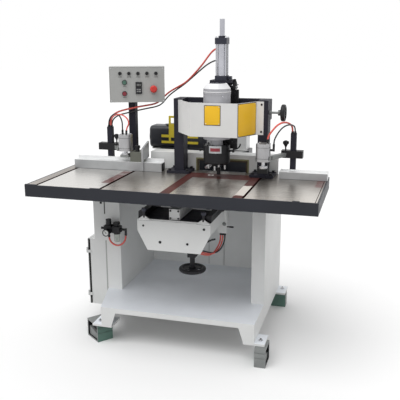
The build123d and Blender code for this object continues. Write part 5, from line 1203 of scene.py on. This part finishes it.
class MORTISER_OT_service_trim(bpy.types.Operator):
    """Adds the gauge's dial with its ticks and needle, and the rings of the bowl and the cap"""
    bl_idname = "mortiser.service_trim"
    bl_label = "Air service trim"

    def execute(self, context):
        centre = np.array((-465, corners("air_service_unit")[0][1], 598))
        bezel = ring(centre, FRONT, 16.5, 20.5, 3, 40)
        dial = turned(centre, FRONT, ((16.8, 0), (16.8, 1.2), (16, 1.4)), 40)
        ticks = [slab(centre + (13.5 * math.cos(a), -1.4, 13.5 * math.sin(a)), FRONT, 1.2, 1.2, 0.4, 0.3)
                 for a in np.linspace(-0.7, math.pi + 0.7, 11)]
        needle = rod(centre + ((4, -2, -4), (0, -2.2, 0), (-9, -2, 9)), 0.8, 8)
        boss = turned(centre + (0, -1.4, 0), FRONT, ((2.6, 0), (2.6, 1), (1, 1.4)), 16)
        piece("gauge_dial", "frame", "service_unit",
              ("black_plastic", bezel, *ticks, needle, boss), ("dial_face", dial))
        bowl_x, bowl_y = -418, -110
        rings = [ring((bowl_x, bowl_y, 583), UP, 16.8, 19.5, 6)]
        rings += [ring((bowl_x, bowl_y, z), UP, 18.5, 19.6, 1.2) for z in (642.5, 645.5, 648.5)]
        piece("service_rings", "frame", "service_unit", ("black_plastic", *rings))
        return {"FINISHED"}


class MORTISER_OT_foot_trim(bpy.types.Operator):
    """Adds the wedge blocks seen in the mounts' windows and the screw ends of the foot plates"""
    bl_idname = "mortiser.foot_trim"
    bl_label = "Foot trim"

    def execute(self, context):
        wedges = [self.wedge(*mount_frame(x, y, turn), length - 24, width / 2 - 21.5, 14)
                  for x, y, turn, length, width in MOUNTS]
        piece("mount_wedges", "frame", "green_casting", ("mount_steel", *wedges))
        ends = [turned((x, y, FOOT_TOP), UP, ((5.5, 0), (5, 1.2), (2, 1.6)), 16)
                for x, y in ((-460, -290), (460, -290), (-532, 465), (460, 465))]
        piece("foot_screw_ends", "frame", "bright_steel", ("black_oxide", *ends))
        return {"FINISHED"}

    def wedge(self, middle, along, out, length, back, depth):
        """A block whose top slopes along the mount: P = middle + s along + z up + d out."""
        half = length / 2
        s, z = np.array(((-half, 10), (half, 10), (half, 40), (-half, 62))).T[..., None]
        return skin(np.stack([middle + s * along + z * UP + d * out for d in (back, back + depth)]))


CLASSES = (
    StageSettings, FinishColours, HoseSettings, PlateSettings, TrimSettings,
    MORTISER_OT_stage, MORTISER_OT_hoses, MORTISER_OT_hose_collars, MORTISER_OT_finishes,
    MORTISER_OT_guard_plates, MORTISER_OT_table_trim, MORTISER_OT_control_panel,
    MORTISER_OT_drill_head_trim, MORTISER_OT_motor_trim,
    MORTISER_OT_cylinder_trim, MORTISER_OT_clamp_trim, MORTISER_OT_knee_trim, MORTISER_OT_wheel_trim,
    MORTISER_OT_cabinet_trim, MORTISER_OT_service_trim, MORTISER_OT_foot_trim,
)
STEPS = [item for item in CLASSES if issubclass(item, bpy.types.Operator)]
SETTINGS = {
    "mortiser_stage": StageSettings, "mortiser_colours": FinishColours, "mortiser_hoses": HoseSettings,
    "mortiser_plates": PlateSettings, "mortiser_trim": TrimSettings,
}


class MORTISER_PT_panel(bpy.types.Panel):
    """Lists the steps that dress the mortiser"""
    bl_idname = "MORTISER_PT_panel"
    bl_label = "Mortiser"
    bl_space_type = "VIEW_3D"
    bl_region_type = "UI"
    bl_category = "Mortiser"

    def draw(self, context):
        for step in STEPS:
            self.layout.operator(step.bl_idname)


def register():
    for item in (*CLASSES, MORTISER_PT_panel):
        bpy.utils.register_class(item)
    for name, group in SETTINGS.items():
        setattr(bpy.types.Scene, name, PointerProperty(type=group))


def unregister():
    for name in SETTINGS:
        delattr(bpy.types.Scene, name)
    for item in reversed((*CLASSES, MORTISER_PT_panel)):
        bpy.utils.unregister_class(item)


def main():
    register()
    for step in STEPS:
        group, name = step.bl_idname.split(".")
        getattr(getattr(bpy.ops, group), name)()
    bpy.context.view_layer.update()


if __name__ == "__main__":
    main()
